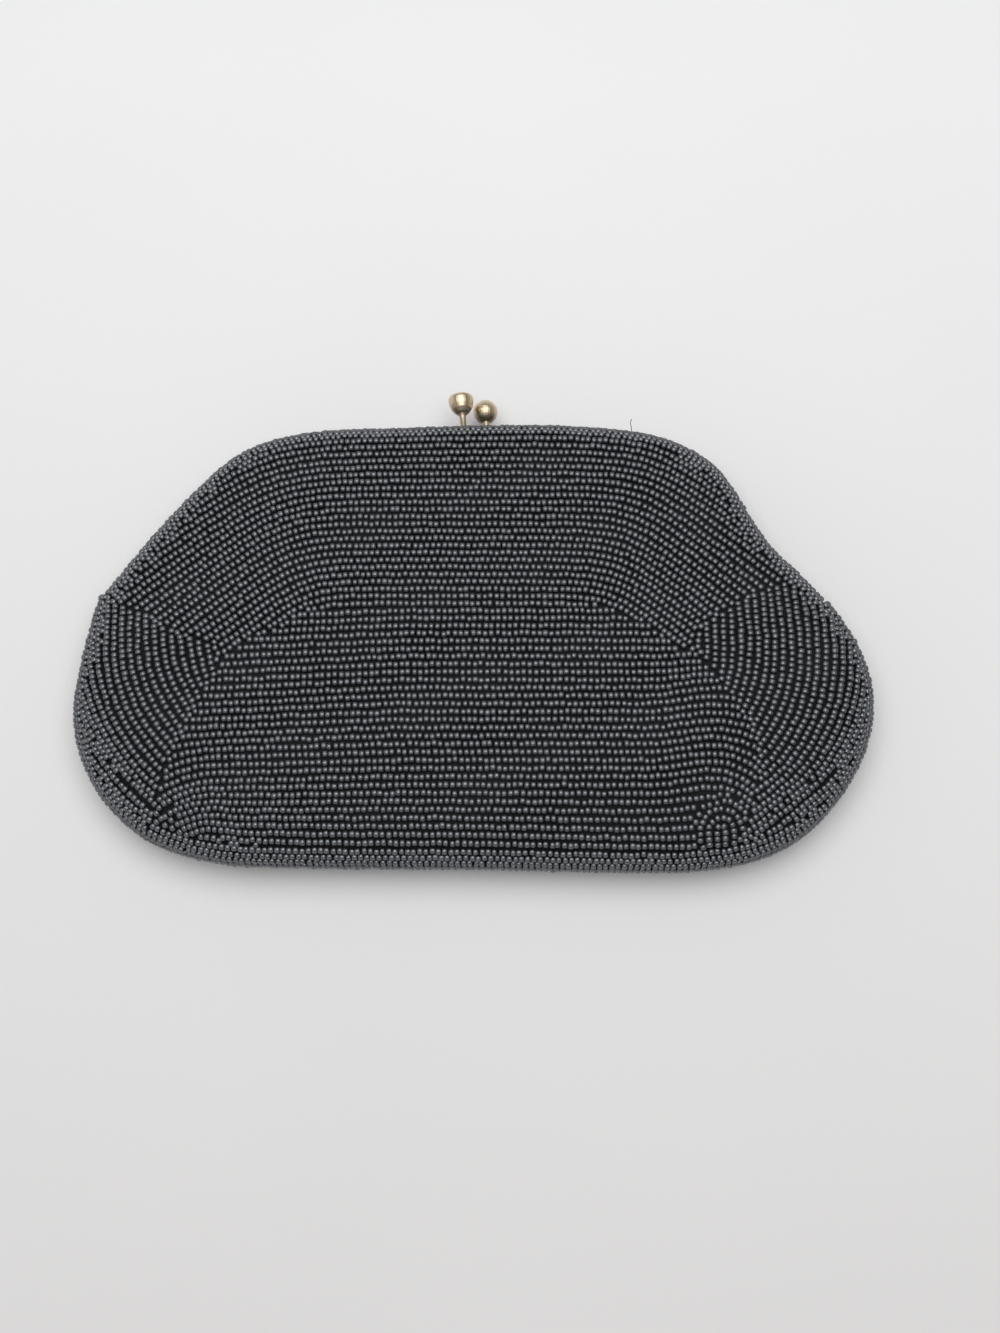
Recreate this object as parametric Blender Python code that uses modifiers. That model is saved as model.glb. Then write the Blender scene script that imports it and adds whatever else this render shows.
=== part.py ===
import math

import bmesh
import bpy
import numpy as np
from mathutils import Matrix, Vector

# Beaded evening clutch, lying on its rear panel with the clasp towards +Y.
# X runs along the hinge axis, Y points to the clasp and Z is the thickness.
# All lengths are metres. Y is measured from the hinge axis until the last step.

# Overall sizes
bag_width = 0.2285
body_height = 0.1357
front_depth = 0.0140
rear_depth = 0.0100

# Rim of the bag as shares of bag_width and body_height, clockwise from the left hinge.
frame_rim_shares = [
    (-0.473, 0.020), (-0.416, 0.154), (-0.353, 0.283), (-0.317, 0.340), (-0.275, 0.378),
    (-0.205, 0.404), (-0.105, 0.412), (0.019, 0.419), (0.118, 0.418), (0.216, 0.402),
    (0.262, 0.379), (0.304, 0.338), (0.335, 0.276), (0.358, 0.201), (0.384, 0.129),
    (0.417, 0.069), (0.448, 0.006),
]
seam_rim_shares = [
    (0.448, 0.006), (0.478, -0.064), (0.496, -0.142), (0.500, -0.229), (0.488, -0.314),
    (0.464, -0.392), (0.431, -0.461), (0.390, -0.518), (0.341, -0.554), (0.270, -0.574),
    (0.186, -0.576), (0.000, -0.570), (-0.210, -0.567), (-0.290, -0.562), (-0.341, -0.547),
    (-0.391, -0.517), (-0.433, -0.466), (-0.467, -0.398), (-0.490, -0.318), (-0.500, -0.233),
    (-0.496, -0.146), (-0.488, -0.057), (-0.473, 0.020),
]

# Soft shells
panel_thickness = 0.0020
lining_thickness = 0.0008
cloth_clearance = 0.0003
rim_clearance = 0.0003
cover_height = 0.0076
cover_round = 0.0060
dome_run = 0.0520
flat_share = 1.1
skirt = 0.0030
dome_power = 4
cover_power = 2

# Rings of the shells: first at set distances from the rim, then at shares of what is left.
near_rim = [0.0, 0.0007, 0.0024, 0.0052, 0.0100]
far_shares = [0.20, 0.45, 0.72, 1.0]
side_columns = 11
shoulder_columns = 6

# The rows of beads run in loops round a ridge that slopes down at both ends.
ridge_shares = [(-0.305, -0.125), (-0.200, -0.028), (0.166, -0.028), (0.271, -0.125)]
spine_columns = 20
foot_spread = 1.18

# Every fourth gap between the rows of beads is a groove in the panels.
gap_loops = 5
gap_start = 0.1
gap_half_width = 0.0006
gap_depth = 0.0009
gap_room_share = 0.95

# The front shell is cut above and below the hinge line, with a flexing strip between.
hem_above_axis = 0.0040
hem_below_axis = 0.0115

# Frame bows
bow_set_in = 0.0038
bow_width = 0.0052
bow_depth = 0.0036
bow_round = 0.0018
closing_gap = 0.0006
bow_columns = 40
groove_depth = 0.0030
groove_height = 0.0018
groove_offset = 0.0011
bow_end = 0.0040

# Hinges
plate_thickness = 0.0010
plate_radius = 0.0030
plate_gap = 0.0003
plate_shift = 0.0012
rivet_radius = 0.0008
rivet_clearance = 0.0003
rivet_head_radius = 0.0016
rivet_head_thickness = 0.0007

# Clasp
clasp_lift = 0.0018
crown_radius = 0.0038
crown_height = 0.0064
crown_at_share = -0.0134
crown_lean = math.radians(6.0)
ball_radius = 0.0037
ball_at_share = 0.0158
ball_lean = math.radians(3.0)
stem_radius = 0.0009
neck_length = 0.0037
ball_neck_length = 0.0029
tail_length = 0.0045
stem_clearance = 0.0003
slot_margin = 0.0004

mid = rear_depth
beyond = 2 * bag_width
merge_distance = bag_width / 100000
least_slant = 0.6

colours = {
    "beads": (0.012, 0.012, 0.014, 1.0, 0.18, 0.0),
    "lining": (0.020, 0.019, 0.021, 1.0, 0.45, 0.0),
    "gilt": (0.78, 0.66, 0.42, 1.0, 0.22, 1.0),
    "steel": (0.55, 0.54, 0.52, 1.0, 0.30, 1.0),
}

for thing in list(bpy.data.objects):
    bpy.data.objects.remove(thing, do_unlink=True)

scene = bpy.context.scene
parts = bpy.data.collections.new("beaded_evening_clutch")
cutters = bpy.data.collections.new("cutters")
scene.collection.children.link(parts)
scene.collection.children.link(cutters)


def material_for(name, kind):
    red, green, blue, alpha, roughness, metallic = colours[kind]
    made = bpy.data.materials.new(name + "_material")
    made.use_nodes = True
    shader = made.node_tree.nodes["Principled BSDF"]
    shader.inputs["Base Color"].default_value = (red, green, blue, alpha)
    shader.inputs["Roughness"].default_value = roughness
    shader.inputs["Metallic"].default_value = metallic
    made.diffuse_color = (red, green, blue, alpha)
    return made


def add_object(name, mesh, home):
    thing = bpy.data.objects.new(name, mesh)
    home.objects.link(thing)
    return thing


def mesh_object(name, form, home):
    mesh = bpy.data.meshes.new(name)
    form.to_mesh(mesh)
    form.free()
    return add_object(name, mesh, home)


def box(name, low, high):
    form = bmesh.new()
    bmesh.ops.create_cube(form, size=1.0)
    size = Vector(high) - Vector(low)
    middle = (Vector(high) + Vector(low)) / 2
    bmesh.ops.scale(form, vec=size, verts=form.verts)
    bmesh.ops.translate(form, vec=middle, verts=form.verts)
    return mesh_object(name, form, cutters)


def bake(thing):
    bpy.context.view_layer.update()
    graph = bpy.context.evaluated_depsgraph_get()
    made = bpy.data.meshes.new_from_object(thing.evaluated_get(graph))
    world = thing.matrix_world.copy()
    name = thing.name
    home = thing.users_collection[0]
    bpy.data.objects.remove(thing, do_unlink=True)
    done = add_object(name, made, home)
    done.data.transform(world)
    return done


def combine(thing, other, how):
    step = thing.modifiers.new(how, "BOOLEAN")
    step.operation = how
    step.solver = "EXACT"
    step.object = other
    done = bake(thing)
    bpy.data.objects.remove(other, do_unlink=True)
    return done


def smooth_curve(points, pieces=24):
    """Centripetal curve through the points."""
    points = np.array(points)
    before = 2 * points[0] - points[1]
    after = 2 * points[-1] - points[-2]
    run = np.vstack([before, points, after])
    out = []
    for k in range(len(points) - 1):
        a, b, c, d = run[k : k + 4]
        t0 = 0.0
        t1 = t0 + math.sqrt(np.linalg.norm(b - a))
        t2 = t1 + math.sqrt(np.linalg.norm(c - b))
        t3 = t2 + math.sqrt(np.linalg.norm(d - c))
        for t in np.linspace(t1, t2, pieces, endpoint=False):
            a1 = (t1 - t) / (t1 - t0) * a + (t - t0) / (t1 - t0) * b
            a2 = (t2 - t) / (t2 - t1) * b + (t - t1) / (t2 - t1) * c
            a3 = (t3 - t) / (t3 - t2) * c + (t - t2) / (t3 - t2) * d
            b1 = (t2 - t) / (t2 - t0) * a1 + (t - t0) / (t2 - t0) * a2
            b2 = (t3 - t) / (t3 - t1) * a2 + (t - t1) / (t3 - t1) * a3
            out.append((t2 - t) / (t2 - t1) * b1 + (t - t1) / (t2 - t1) * b2)
    out.append(points[-1])
    return np.array(out)


def along(curve, count):
    """Points evenly spaced along a curve."""
    steps = np.linalg.norm(np.diff(curve, axis=0), axis=1)
    length = np.append(0.0, np.cumsum(steps))
    at = np.linspace(0.0, length[-1], count)
    return np.stack([np.interp(at, length, curve[:, k]) for k in (0, 1)], axis=1)


rim_size = np.array([bag_width, body_height])
frame_rim = smooth_curve(np.array(frame_rim_shares) * rim_size)
seam_rim = smooth_curve(np.array(seam_rim_shares) * rim_size)
frame_marks = along(frame_rim, 1200)
seam_marks = along(seam_rim, 1500)


def inward(curve):
    """Unit normals that point into the bag, for a rim that runs clockwise."""
    along_it = np.gradient(curve, axis=0)
    along_it /= np.linalg.norm(along_it, axis=1)[:, None]
    return np.stack([along_it[:, 1], -along_it[:, 0]], axis=1)


def nearness(points, marks):
    """Integral of 1 / distance**4 along a curve, which falls off smoothly inside the bag."""
    step = np.linalg.norm(marks[1] - marks[0])
    apart = ((points[:, None, :] - marks[None, :, :]) ** 2).sum(axis=2)
    return (step / (apart**2 + (step / 4) ** 4)).sum(axis=1)


def height(points, depth, limit):
    """Height of the outer skin over the middle plane at points of the plane."""
    near_frame = nearness(points, frame_marks)
    near_seam = nearness(points, seam_marks)
    share = near_frame / (near_frame + near_seam)
    away = (2 / math.pi * (near_frame + near_seam)) ** (-1 / 3)
    left = 1 - np.minimum(away / dome_run, 1.0)
    seam_side = depth * np.sqrt(1 - left**dome_power)
    turn = 1 - np.minimum(away / cover_round, 1.0)
    cover = cover_height * np.sqrt(1 - turn**2)
    frame_side = cover + (depth - cover_height) * (1 - left**cover_power)
    return np.minimum(share * frame_side + (1 - share) * seam_side, limit)


def cross_at(curve, x):
    """Y where a curve that runs along X passes x."""
    order = np.argsort(curve[:, 0])
    return float(np.interp(x, curve[order, 0], curve[order, 1]))


def rays():
    """Rim points with the ridge point that each one runs to, clockwise."""
    ridge = along(smooth_curve(np.array(ridge_shares) * rim_size), spine_columns + 1)
    left_end, right_end = ridge[0], ridge[-1]
    bottom = seam_rim[seam_rim[:, 1] < left_end[1]]
    feet = ridge[:, 0] * foot_spread
    left_shoulder = frame_rim[frame_rim[:, 0] < left_end[0]]
    right_shoulder = frame_rim[frame_rim[:, 0] > right_end[0]]
    right_side = seam_rim[: len(seam_rim) // 2]
    right_side = right_side[right_side[:, 0] > feet[-1]]
    left_side = seam_rim[len(seam_rim) // 2 :]
    left_side = left_side[left_side[:, 0] < feet[0]]
    rim, ends = [], []
    for point in along(left_shoulder, shoulder_columns + 2)[:-1]:
        rim.append(point)
        ends.append(left_end)
    for end in ridge:
        rim.append((end[0], cross_at(frame_rim, end[0])))
        ends.append(end)
    for point in along(right_shoulder, shoulder_columns + 2)[1:]:
        rim.append(point)
        ends.append(right_end)
    for point in along(right_side, side_columns + 2)[1:-1]:
        rim.append(point)
        ends.append(right_end)
    for foot, end in zip(reversed(feet), reversed(ridge)):
        rim.append((foot, cross_at(bottom, foot)))
        ends.append(end)
    for point in along(left_side, side_columns + 2)[1:-1]:
        rim.append(point)
        ends.append(left_end)
    return np.array(rim), np.array(ends)


rim_points, spine_points = rays()
reach = np.linalg.norm(spine_points - rim_points, axis=1)
toward = (spine_points - rim_points) / reach[:, None]
into_bag = inward(np.vstack([rim_points[-1:], rim_points, rim_points[:1]]))[1:-1]
slant = 1 / np.maximum((toward * into_bag).sum(axis=1), least_slant)
frame_rays = spine_columns + 1 + 2 * (shoulder_columns + 1)
on_frame = np.arange(len(rim_points)) < frame_rays


def open_skin(form, side, depth, limit, steps, offset):
    """Skin through rings at (distance along the rays, sink). Returns its open edge."""
    rings = []
    for distance, sink in [steps[0], *steps]:
        plane = rim_points + toward * distance[:, None]
        up = np.where(distance > 0, height(plane, depth, limit), 0.0) - sink
        if not rings:
            up = np.where(distance > 0, up, -skirt)
        ring = [
            form.verts.new((x, y, mid + side * h))
            for (x, y), h in zip(plane, up, strict=True)
        ]
        rings.append(ring)
    count = len(rim_points)
    for outer, inner in zip(rings, rings[1:]):
        for k in range(count):
            after = (k + 1) % count
            form.faces.new((outer[k], outer[after], inner[after], inner[k]))
    first = [tuple(vert.co) for vert in rings[0]]
    own = [vert for ring in rings for vert in ring]
    bmesh.ops.remove_doubles(form, verts=own, dist=merge_distance)
    own = [vert for vert in own if vert.is_valid]
    lines = list({edge for vert in own for edge in vert.link_edges})
    bmesh.ops.dissolve_degenerate(form, edges=lines, dist=merge_distance)
    own = [vert for vert in own if vert.is_valid]
    sheet = list({face for vert in own for face in vert.link_faces})
    bmesh.ops.recalc_face_normals(form, faces=sheet)
    form.normal_update()
    top = max(own, key=lambda v: side * v.co.z)
    if top.normal.z * side < 0:
        bmesh.ops.reverse_faces(form, faces=sheet)
        form.normal_update()
    by_place = {tuple(vert.co): vert for vert in own}
    edge = [by_place[spot] for spot in first]
    moved = [v.co - v.normal * offset * v.calc_shell_factor() for v in own]
    for v, place in zip(own, moved):
        v.co = place
    return edge


def skin(name, side, depth, limit, offset, thickness, frame_start=0.0, gaps=0):
    """Closed shell under the outer skin of one side of the bag, side is 1 in front.

    On the frame it starts at a set distance from the rim. Gaps are grooves in its outside.
    """
    start = np.where(on_frame, frame_start, 0.0) * slant
    near = [(np.maximum(distance * slant, start), 0.0) for distance in near_rim]
    last = near[-1][0]
    left = reach - last
    plain = near + [(last + left * share, 0.0) for share in far_shares]
    grooved = list(near)
    for k in range(gaps):
        centre = last + left * (k + gap_start) / gaps
        half = np.minimum(gap_half_width, left * gap_start / gaps * gap_room_share)
        grooved += [(centre - half, 0.0), (centre, gap_depth), (centre + half, 0.0)]
    grooved.append((reach, 0.0))
    form = bmesh.new()
    outer = open_skin(form, side, depth, limit, grooved if gaps else plain, offset)
    inner = open_skin(form, side, depth, limit, plain, offset + thickness)
    for k in range(len(outer)):
        form.faces.new((outer[k - 1], outer[k], inner[k], inner[k - 1]))
    bmesh.ops.recalc_face_normals(form, faces=form.faces)
    thing = mesh_object(name, form, parts)
    edge = mid + side * rim_clearance / 2
    other = edge - side * beyond
    cut = box(name + "_cut", (-beyond, -beyond, min(edge, other)), (beyond, beyond, max(edge, other)))
    return combine(thing, cut, "DIFFERENCE")


def keep_between(thing, name, low_y, high_y):
    """Copy of a shell, cut to the stretch between two heights."""
    copy = add_object(name, thing.data.copy(), parts)
    keep = box(name + "_keep", (-beyond, low_y, -beyond), (beyond, high_y, beyond))
    return combine(copy, keep, "INTERSECT")


def plate(name, outline, low_z, high_z, home):
    """Flat plate with a closed outline, from a filled curve."""
    drawn = bpy.data.curves.new(name, "CURVE")
    drawn.dimensions = "2D"
    drawn.fill_mode = "BOTH"
    drawn.extrude = (high_z - low_z) / 2
    run = drawn.splines.new("POLY")
    run.points.add(len(outline) - 1)
    for spot, (x, y) in zip(run.points, outline):
        spot.co = (x, y, 0.0, 1.0)
    run.use_cyclic_u = True
    thing = add_object(name, drawn, home)
    thing.location.z = (low_z + high_z) / 2
    thing = bake(thing)
    form = bmesh.new()
    form.from_mesh(thing.data)
    bmesh.ops.remove_doubles(form, verts=form.verts, dist=merge_distance)
    bmesh.ops.recalc_face_normals(form, faces=form.faces)
    form.to_mesh(thing.data)
    form.free()
    return thing


def band(name, near, far, low_z, high_z, home, count):
    """Flat band that follows the frame's rim between two distances from it."""
    path = along(frame_rim, count)
    into = inward(path)
    outer = path + into * near
    inner = path + into * far
    return plate(name, np.vstack([outer, inner[::-1]]), low_z, high_z, home)


def turned(name, profile, home, steps):
    """Solid turned about Z from (radius, height) pairs that run from top to bottom."""
    mesh = bpy.data.meshes.new(name)
    places = [(radius, 0.0, high) for radius, high in profile]
    mesh.from_pydata(places, [(k, k + 1) for k in range(len(places) - 1)], [])
    thing = add_object(name, mesh, home)
    step = thing.modifiers.new("turn", "SCREW")
    step.axis = "Z"
    step.steps = steps
    step.render_steps = steps
    step.use_merge_vertices = True
    step.merge_threshold = merge_distance
    thing = bake(thing)
    form = bmesh.new()
    form.from_mesh(thing.data)
    bmesh.ops.remove_doubles(form, verts=form.verts, dist=merge_distance)
    bmesh.ops.recalc_face_normals(form, faces=form.faces)
    form.to_mesh(thing.data)
    form.free()
    return thing


def place(thing, turn, spot):
    thing.data.transform(Matrix.Translation(Vector(spot)) @ turn)
    return thing


def finish(thing, kind, on_axis=False):
    thing.data.materials.clear()
    thing.data.materials.append(material_for(thing.name, kind))
    thing.data.shade_smooth()
    thing.data.set_sharp_from_angle(angle=math.radians(34))
    if on_axis:
        axis_spot = Vector((0.0, 0.0, mid))
        thing.data.transform(Matrix.Translation(-axis_spot))
        thing.location = axis_spot
    return thing


# Clasp posts: each stands on its own bow and leans a little to the left.
crown_x = crown_at_share * bag_width
ball_x = ball_at_share * bag_width
upright = Matrix.Rotation(-math.pi / 2, 4, "X")


def post(x, lean, side):
    """Foot of a clasp post on its bow's outer edge, and the turn that stands it up."""
    foot = Vector((x, cross_at(frame_rim, x) - bow_set_in, mid + side * (closing_gap / 2 + clasp_lift)))
    return foot, Matrix.Rotation(lean, 4, "Z") @ upright


crown_foot, crown_turn = post(crown_x, crown_lean, 1)
ball_foot, ball_turn = post(ball_x, ball_lean, -1)


def post_room(name, foot, turn, side, extra):
    """Slot for a clasp post, an arch in section, open towards the middle plane."""
    radius = stem_radius + extra
    high = bow_set_in + neck_length
    open_side = side * 2 * clasp_lift
    arch = np.linspace(0.0, math.pi, 11)
    section = [(radius * math.cos(angle), -side * radius * math.sin(angle)) for angle in arch]
    section += [(-radius, open_side), (radius, open_side)]
    form = bmesh.new()
    lower = [form.verts.new((x, y, -high)) for x, y in section]
    upper = [form.verts.new((x, y, high)) for x, y in section]
    form.faces.new(lower)
    form.faces.new(upper)
    for k in range(len(section)):
        form.faces.new((lower[k - 1], lower[k], upper[k], upper[k - 1]))
    bmesh.ops.recalc_face_normals(form, faces=form.faces)
    bmesh.ops.transform(form, matrix=Matrix.Translation(foot) @ turn, verts=form.verts)
    return mesh_object(name, form, cutters)


# Beaded panels and linings
lining_offset = panel_thickness + cloth_clearance
rear_amplitude = rear_depth * flat_share
axis_hem = hem_above_axis - cloth_clearance
low_hem = -hem_below_axis

rear_panel = skin(
    "rear_beaded_panel", -1, rear_amplitude, rear_depth, 0.0, panel_thickness, gaps=gap_loops
)
rear_panel = combine(
    rear_panel, post_room("rear_slot", ball_foot, ball_turn, -1, slot_margin), "DIFFERENCE"
)
front_shell = skin(
    "front_shell", 1, front_depth, front_depth, 0.0, panel_thickness, gaps=gap_loops
)
front_upper = keep_between(front_shell, "front_beaded_panel_upper", hem_above_axis, beyond)
front_upper = combine(
    front_upper, post_room("front_slot", crown_foot, crown_turn, 1, slot_margin), "DIFFERENCE"
)
front_flex = keep_between(front_shell, "front_beaded_flex", low_hem, axis_hem)
front_lower = keep_between(
    front_shell, "front_beaded_panel_lower", -beyond, low_hem - cloth_clearance
)
bpy.data.objects.remove(front_shell, do_unlink=True)

bow_far = bow_set_in + bow_width
lining_start = bow_far + cloth_clearance
rear_lining = skin(
    "rear_lining", -1, rear_amplitude, rear_depth, lining_offset, lining_thickness, lining_start
)
lining_shell = skin(
    "lining_shell", 1, front_depth, front_depth, lining_offset, lining_thickness, lining_start
)
lining_upper = keep_between(lining_shell, "front_lining_upper", hem_above_axis, beyond)
lining_flex = keep_between(lining_shell, "front_lining_flex", low_hem, axis_hem)
lining_lower = keep_between(
    lining_shell, "front_lining_lower", -beyond, low_hem - cloth_clearance
)
bpy.data.objects.remove(lining_shell, do_unlink=True)


# Frame bows: a flat rounded bar along the rim with a groove on its inner edge
def bow(name, side, foot, turn):
    near_z = mid + side * closing_gap / 2
    far_z = near_z + side * bow_depth
    made = band(name, bow_set_in, bow_far, min(near_z, far_z), max(near_z, far_z), parts, bow_columns)
    ends = box(name + "_ends", (-beyond, bow_end, -beyond), (beyond, beyond, beyond))
    made = combine(made, ends, "INTERSECT")
    soften = made.modifiers.new("round", "BEVEL")
    soften.width = bow_round / 2
    soften.segments = 2
    soften.limit_method = "ANGLE"
    soften.angle_limit = math.radians(50)
    made = bake(made)
    groove_near = near_z + side * groove_offset
    groove_far = groove_near + side * groove_height
    groove = band(
        name + "_groove",
        bow_far - groove_depth,
        bow_far + groove_depth,
        min(groove_near, groove_far),
        max(groove_near, groove_far),
        cutters,
        bow_columns,
    )
    made = combine(made, groove, "DIFFERENCE")
    form = bmesh.new()
    bore = stem_radius + stem_clearance
    bmesh.ops.create_cone(
        form,
        cap_ends=True,
        segments=20,
        radius1=bore,
        radius2=bore,
        depth=2 * tail_length,
        matrix=Matrix.Translation(foot) @ turn,
    )
    return combine(made, mesh_object(name + "_bore", form, cutters), "DIFFERENCE")


front_bow = bow("front_frame_bow", 1, crown_foot, crown_turn)
rear_bow = bow("rear_frame_bow", -1, ball_foot, ball_turn)

# Hinges: two plates pinned by one rivet on each side
arm_path = along(frame_rim, 1200)
arm_path = arm_path + inward(arm_path) * (bow_set_in + bow_width / 2)
left_arm = arm_path[: len(arm_path) // 3]
right_arm = arm_path[-(len(arm_path) // 3) :]
left_x = float(np.interp(0.0, left_arm[:, 1], left_arm[:, 0])) + plate_shift
right_x = float(np.interp(0.0, right_arm[::-1, 1], right_arm[::-1, 0])) - plate_shift
across = Matrix.Rotation(math.pi / 2, 4, "Y")


def hinge_plate(name, centre_x, side):
    """Round plate about the hinge axis with a shoulder under its bow's arm."""
    form = bmesh.new()
    bmesh.ops.create_cone(
        form,
        cap_ends=True,
        segments=36,
        radius1=plate_radius,
        radius2=plate_radius,
        depth=plate_thickness,
        matrix=Matrix.Translation((centre_x, 0.0, mid)) @ across,
    )
    made = mesh_object(name, form, parts)
    near_z = mid + side * closing_gap / 2
    far_z = near_z + side * (bow_depth - bow_round / 2)
    half = plate_thickness / 2
    shoulder = box(
        name + "_shoulder",
        (centre_x - half, 0.0, min(near_z, far_z)),
        (centre_x + half, bow_end - cloth_clearance, max(near_z, far_z)),
    )
    made = combine(made, shoulder, "UNION")
    form = bmesh.new()
    bore = rivet_radius + rivet_clearance
    bmesh.ops.create_cone(
        form,
        cap_ends=True,
        segments=28,
        radius1=bore,
        radius2=bore,
        depth=2 * plate_thickness,
        matrix=Matrix.Translation((centre_x, 0.0, mid)) @ across,
    )
    return combine(made, mesh_object(name + "_bore", form, cutters), "DIFFERENCE")


def rivet(name, centre_x):
    """Headed rivet on the hinge axis."""
    inner = plate_gap / 2 + plate_thickness + plate_gap
    outer = inner + rivet_head_thickness
    soft = rivet_head_thickness / 3
    profile = [
        (0.0, outer),
        (rivet_head_radius - soft, outer),
        (rivet_head_radius, outer - soft),
        (rivet_head_radius, inner),
        (rivet_radius, inner),
        (rivet_radius, -inner),
        (rivet_head_radius, -inner),
        (rivet_head_radius, soft - outer),
        (rivet_head_radius - soft, -outer),
        (0.0, -outer),
    ]
    return place(turned(name, profile, parts, 28), across, (centre_x, 0.0, mid))


plate_step = (plate_thickness + plate_gap) / 2
left_rear_plate = hinge_plate("rear_hinge_plate_left", left_x - plate_step, -1)
left_front_plate = hinge_plate("front_hinge_plate_left", left_x + plate_step, 1)
right_rear_plate = hinge_plate("rear_hinge_plate_right", right_x + plate_step, -1)
right_front_plate = hinge_plate("front_hinge_plate_right", right_x - plate_step, 1)
left_rivet = rivet("hinge_rivet_left", left_x)
right_rivet = rivet("hinge_rivet_right", right_x)

# Clasp knobs: a flattened crown on the front bow and a ball on the rear bow.
# Their heights are measured from the bow's outer edge along the post.
neck_foot = bow_set_in
crown_base = neck_foot + neck_length
neck_fill = 0.9
crown_shares = [
    (0.00, 1.00), (0.45, 0.99), (0.76, 0.965), (0.91, 0.92), (0.98, 0.85), (1.00, 0.76),
    (0.98, 0.62), (0.91, 0.45), (0.78, 0.28), (0.58, 0.13), (0.37, 0.03),
]
crown_profile = [
    (crown_radius * wide, crown_base + crown_height * high) for wide, high in crown_shares
]
stem_shares = [(1.18, 1.0), (1.02, 0.70), (0.96, 0.30), (0.96, 0.0)]
for wide, high in stem_shares:
    crown_profile.append((stem_radius * wide, neck_foot + neck_length * high * neck_fill))
tail_radius = stem_radius * stem_shares[-1][0]
tail_end = bow_width - groove_depth
crown_profile.append((tail_radius, -tail_end))
crown_profile.append((0.0, -tail_end))
crown = turned("front_clasp_knob", crown_profile, parts, 32)
crown = place(crown, crown_turn, crown_foot)

ball_centre = neck_foot + ball_neck_length + ball_radius
meet = math.asin(stem_radius * stem_shares[0][0] / ball_radius)
ball_profile = [
    (ball_radius * math.sin(angle), ball_centre + ball_radius * math.cos(angle))
    for angle in np.linspace(0.0, math.pi - meet, 15)
]
for wide, high in stem_shares[1:]:
    ball_profile.append((stem_radius * wide, neck_foot + ball_neck_length * high * neck_fill))
ball_profile.append((tail_radius, -tail_end))
ball_profile.append((0.0, -tail_end))
ball = turned("rear_clasp_knob", ball_profile, parts, 32)
ball = place(ball, ball_turn, ball_foot)

for thing in (rear_panel, front_flex, front_lower):
    finish(thing, "beads")
for thing in (rear_lining, lining_flex, lining_lower):
    finish(thing, "lining")
for thing in (rear_bow, ball):
    finish(thing, "gilt")
for thing in (left_rear_plate, right_rear_plate, left_rivet, right_rivet):
    finish(thing, "steel")
finish(front_upper, "beads", on_axis=True)
finish(lining_upper, "lining", on_axis=True)
finish(front_bow, "gilt", on_axis=True)
finish(crown, "gilt", on_axis=True)
finish(left_front_plate, "steel", on_axis=True)
finish(right_front_plate, "steel", on_axis=True)

bpy.data.collections.remove(cutters)

# The origin goes to the middle of the bottom of the whole bag's box.
bpy.context.view_layer.update()
corners = np.array(
    [tuple(thing.matrix_world @ v.co) for thing in parts.objects for v in thing.data.vertices]
)
low = corners.min(axis=0)
high = corners.max(axis=0)
shift = Vector((-(low[0] + high[0]) / 2, -(low[1] + high[1]) / 2, -low[2]))
for thing in parts.objects:
    thing.location += shift
bpy.context.view_layer.update()
print("box", [round(float(v), 5) for v in high - low])
print("hinge axis at y", round(shift.y, 5), "z", round(mid + shift.z, 5), "x shift", round(shift.x, 5))
print("hinges at x", round(left_x + shift.x, 5), round(right_x + shift.x, 5))
for thing in parts.objects:
    print(thing.name, len(thing.data.polygons))
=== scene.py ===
import math

import bmesh
import bpy
import numpy as np
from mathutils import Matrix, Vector
from mathutils.kdtree import KDTree


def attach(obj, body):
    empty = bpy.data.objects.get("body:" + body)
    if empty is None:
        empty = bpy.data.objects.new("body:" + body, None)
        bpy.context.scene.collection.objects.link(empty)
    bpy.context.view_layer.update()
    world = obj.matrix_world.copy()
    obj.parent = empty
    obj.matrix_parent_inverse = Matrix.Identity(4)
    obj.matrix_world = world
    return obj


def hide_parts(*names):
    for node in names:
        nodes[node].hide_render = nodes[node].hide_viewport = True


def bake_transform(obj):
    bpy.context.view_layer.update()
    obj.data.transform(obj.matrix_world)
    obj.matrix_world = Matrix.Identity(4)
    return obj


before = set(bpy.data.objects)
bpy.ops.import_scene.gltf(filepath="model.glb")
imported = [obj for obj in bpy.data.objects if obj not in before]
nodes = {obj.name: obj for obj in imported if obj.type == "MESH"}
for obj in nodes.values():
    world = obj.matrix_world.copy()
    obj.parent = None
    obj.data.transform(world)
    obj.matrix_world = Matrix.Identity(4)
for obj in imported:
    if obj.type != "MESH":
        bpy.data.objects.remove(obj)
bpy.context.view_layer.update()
scene = bpy.context.scene
print("frame loaded")

# Black beaded clutch, lying on its rear panel. Lengths are metres, in the frame of the model.
# Beads are placed one by one, in the rows that the photograph shows.

# The camera

photoView = {
    "widthPixels": 1000,
    "heightPixels": 1333,
    "target": (0.00740, -0.01356, 0.0120),
    "distance": 0.430,
    "tiltDegrees": 17.0,  # from straight above, towards the lower side
    "lens": 53.94,
    "sensorWidth": 36.0,
}

tilt = math.radians(photoView["tiltDegrees"])
viewBack = np.array([0.0, -math.sin(tilt), math.cos(tilt)])
viewRight = np.array([1.0, 0.0, 0.0])
viewUp = np.array([0.0, math.cos(tilt), math.sin(tilt)])
viewPlace = np.array(photoView["target"]) + photoView["distance"] * viewBack
focalPixels = photoView["lens"] / photoView["sensorWidth"] * photoView["widthPixels"]

cameraData = bpy.data.cameras.new("photoCamera")
cameraData.lens = photoView["lens"]
cameraData.sensor_width = photoView["sensorWidth"]
cameraData.sensor_fit = "HORIZONTAL"
cameraData.clip_start = 0.01
camera = bpy.data.objects.new("photoCamera", cameraData)
camera.location = viewPlace
camera.rotation_euler = (tilt, 0.0, 0.0)
scene.collection.objects.link(camera)
scene.camera = camera


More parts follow.
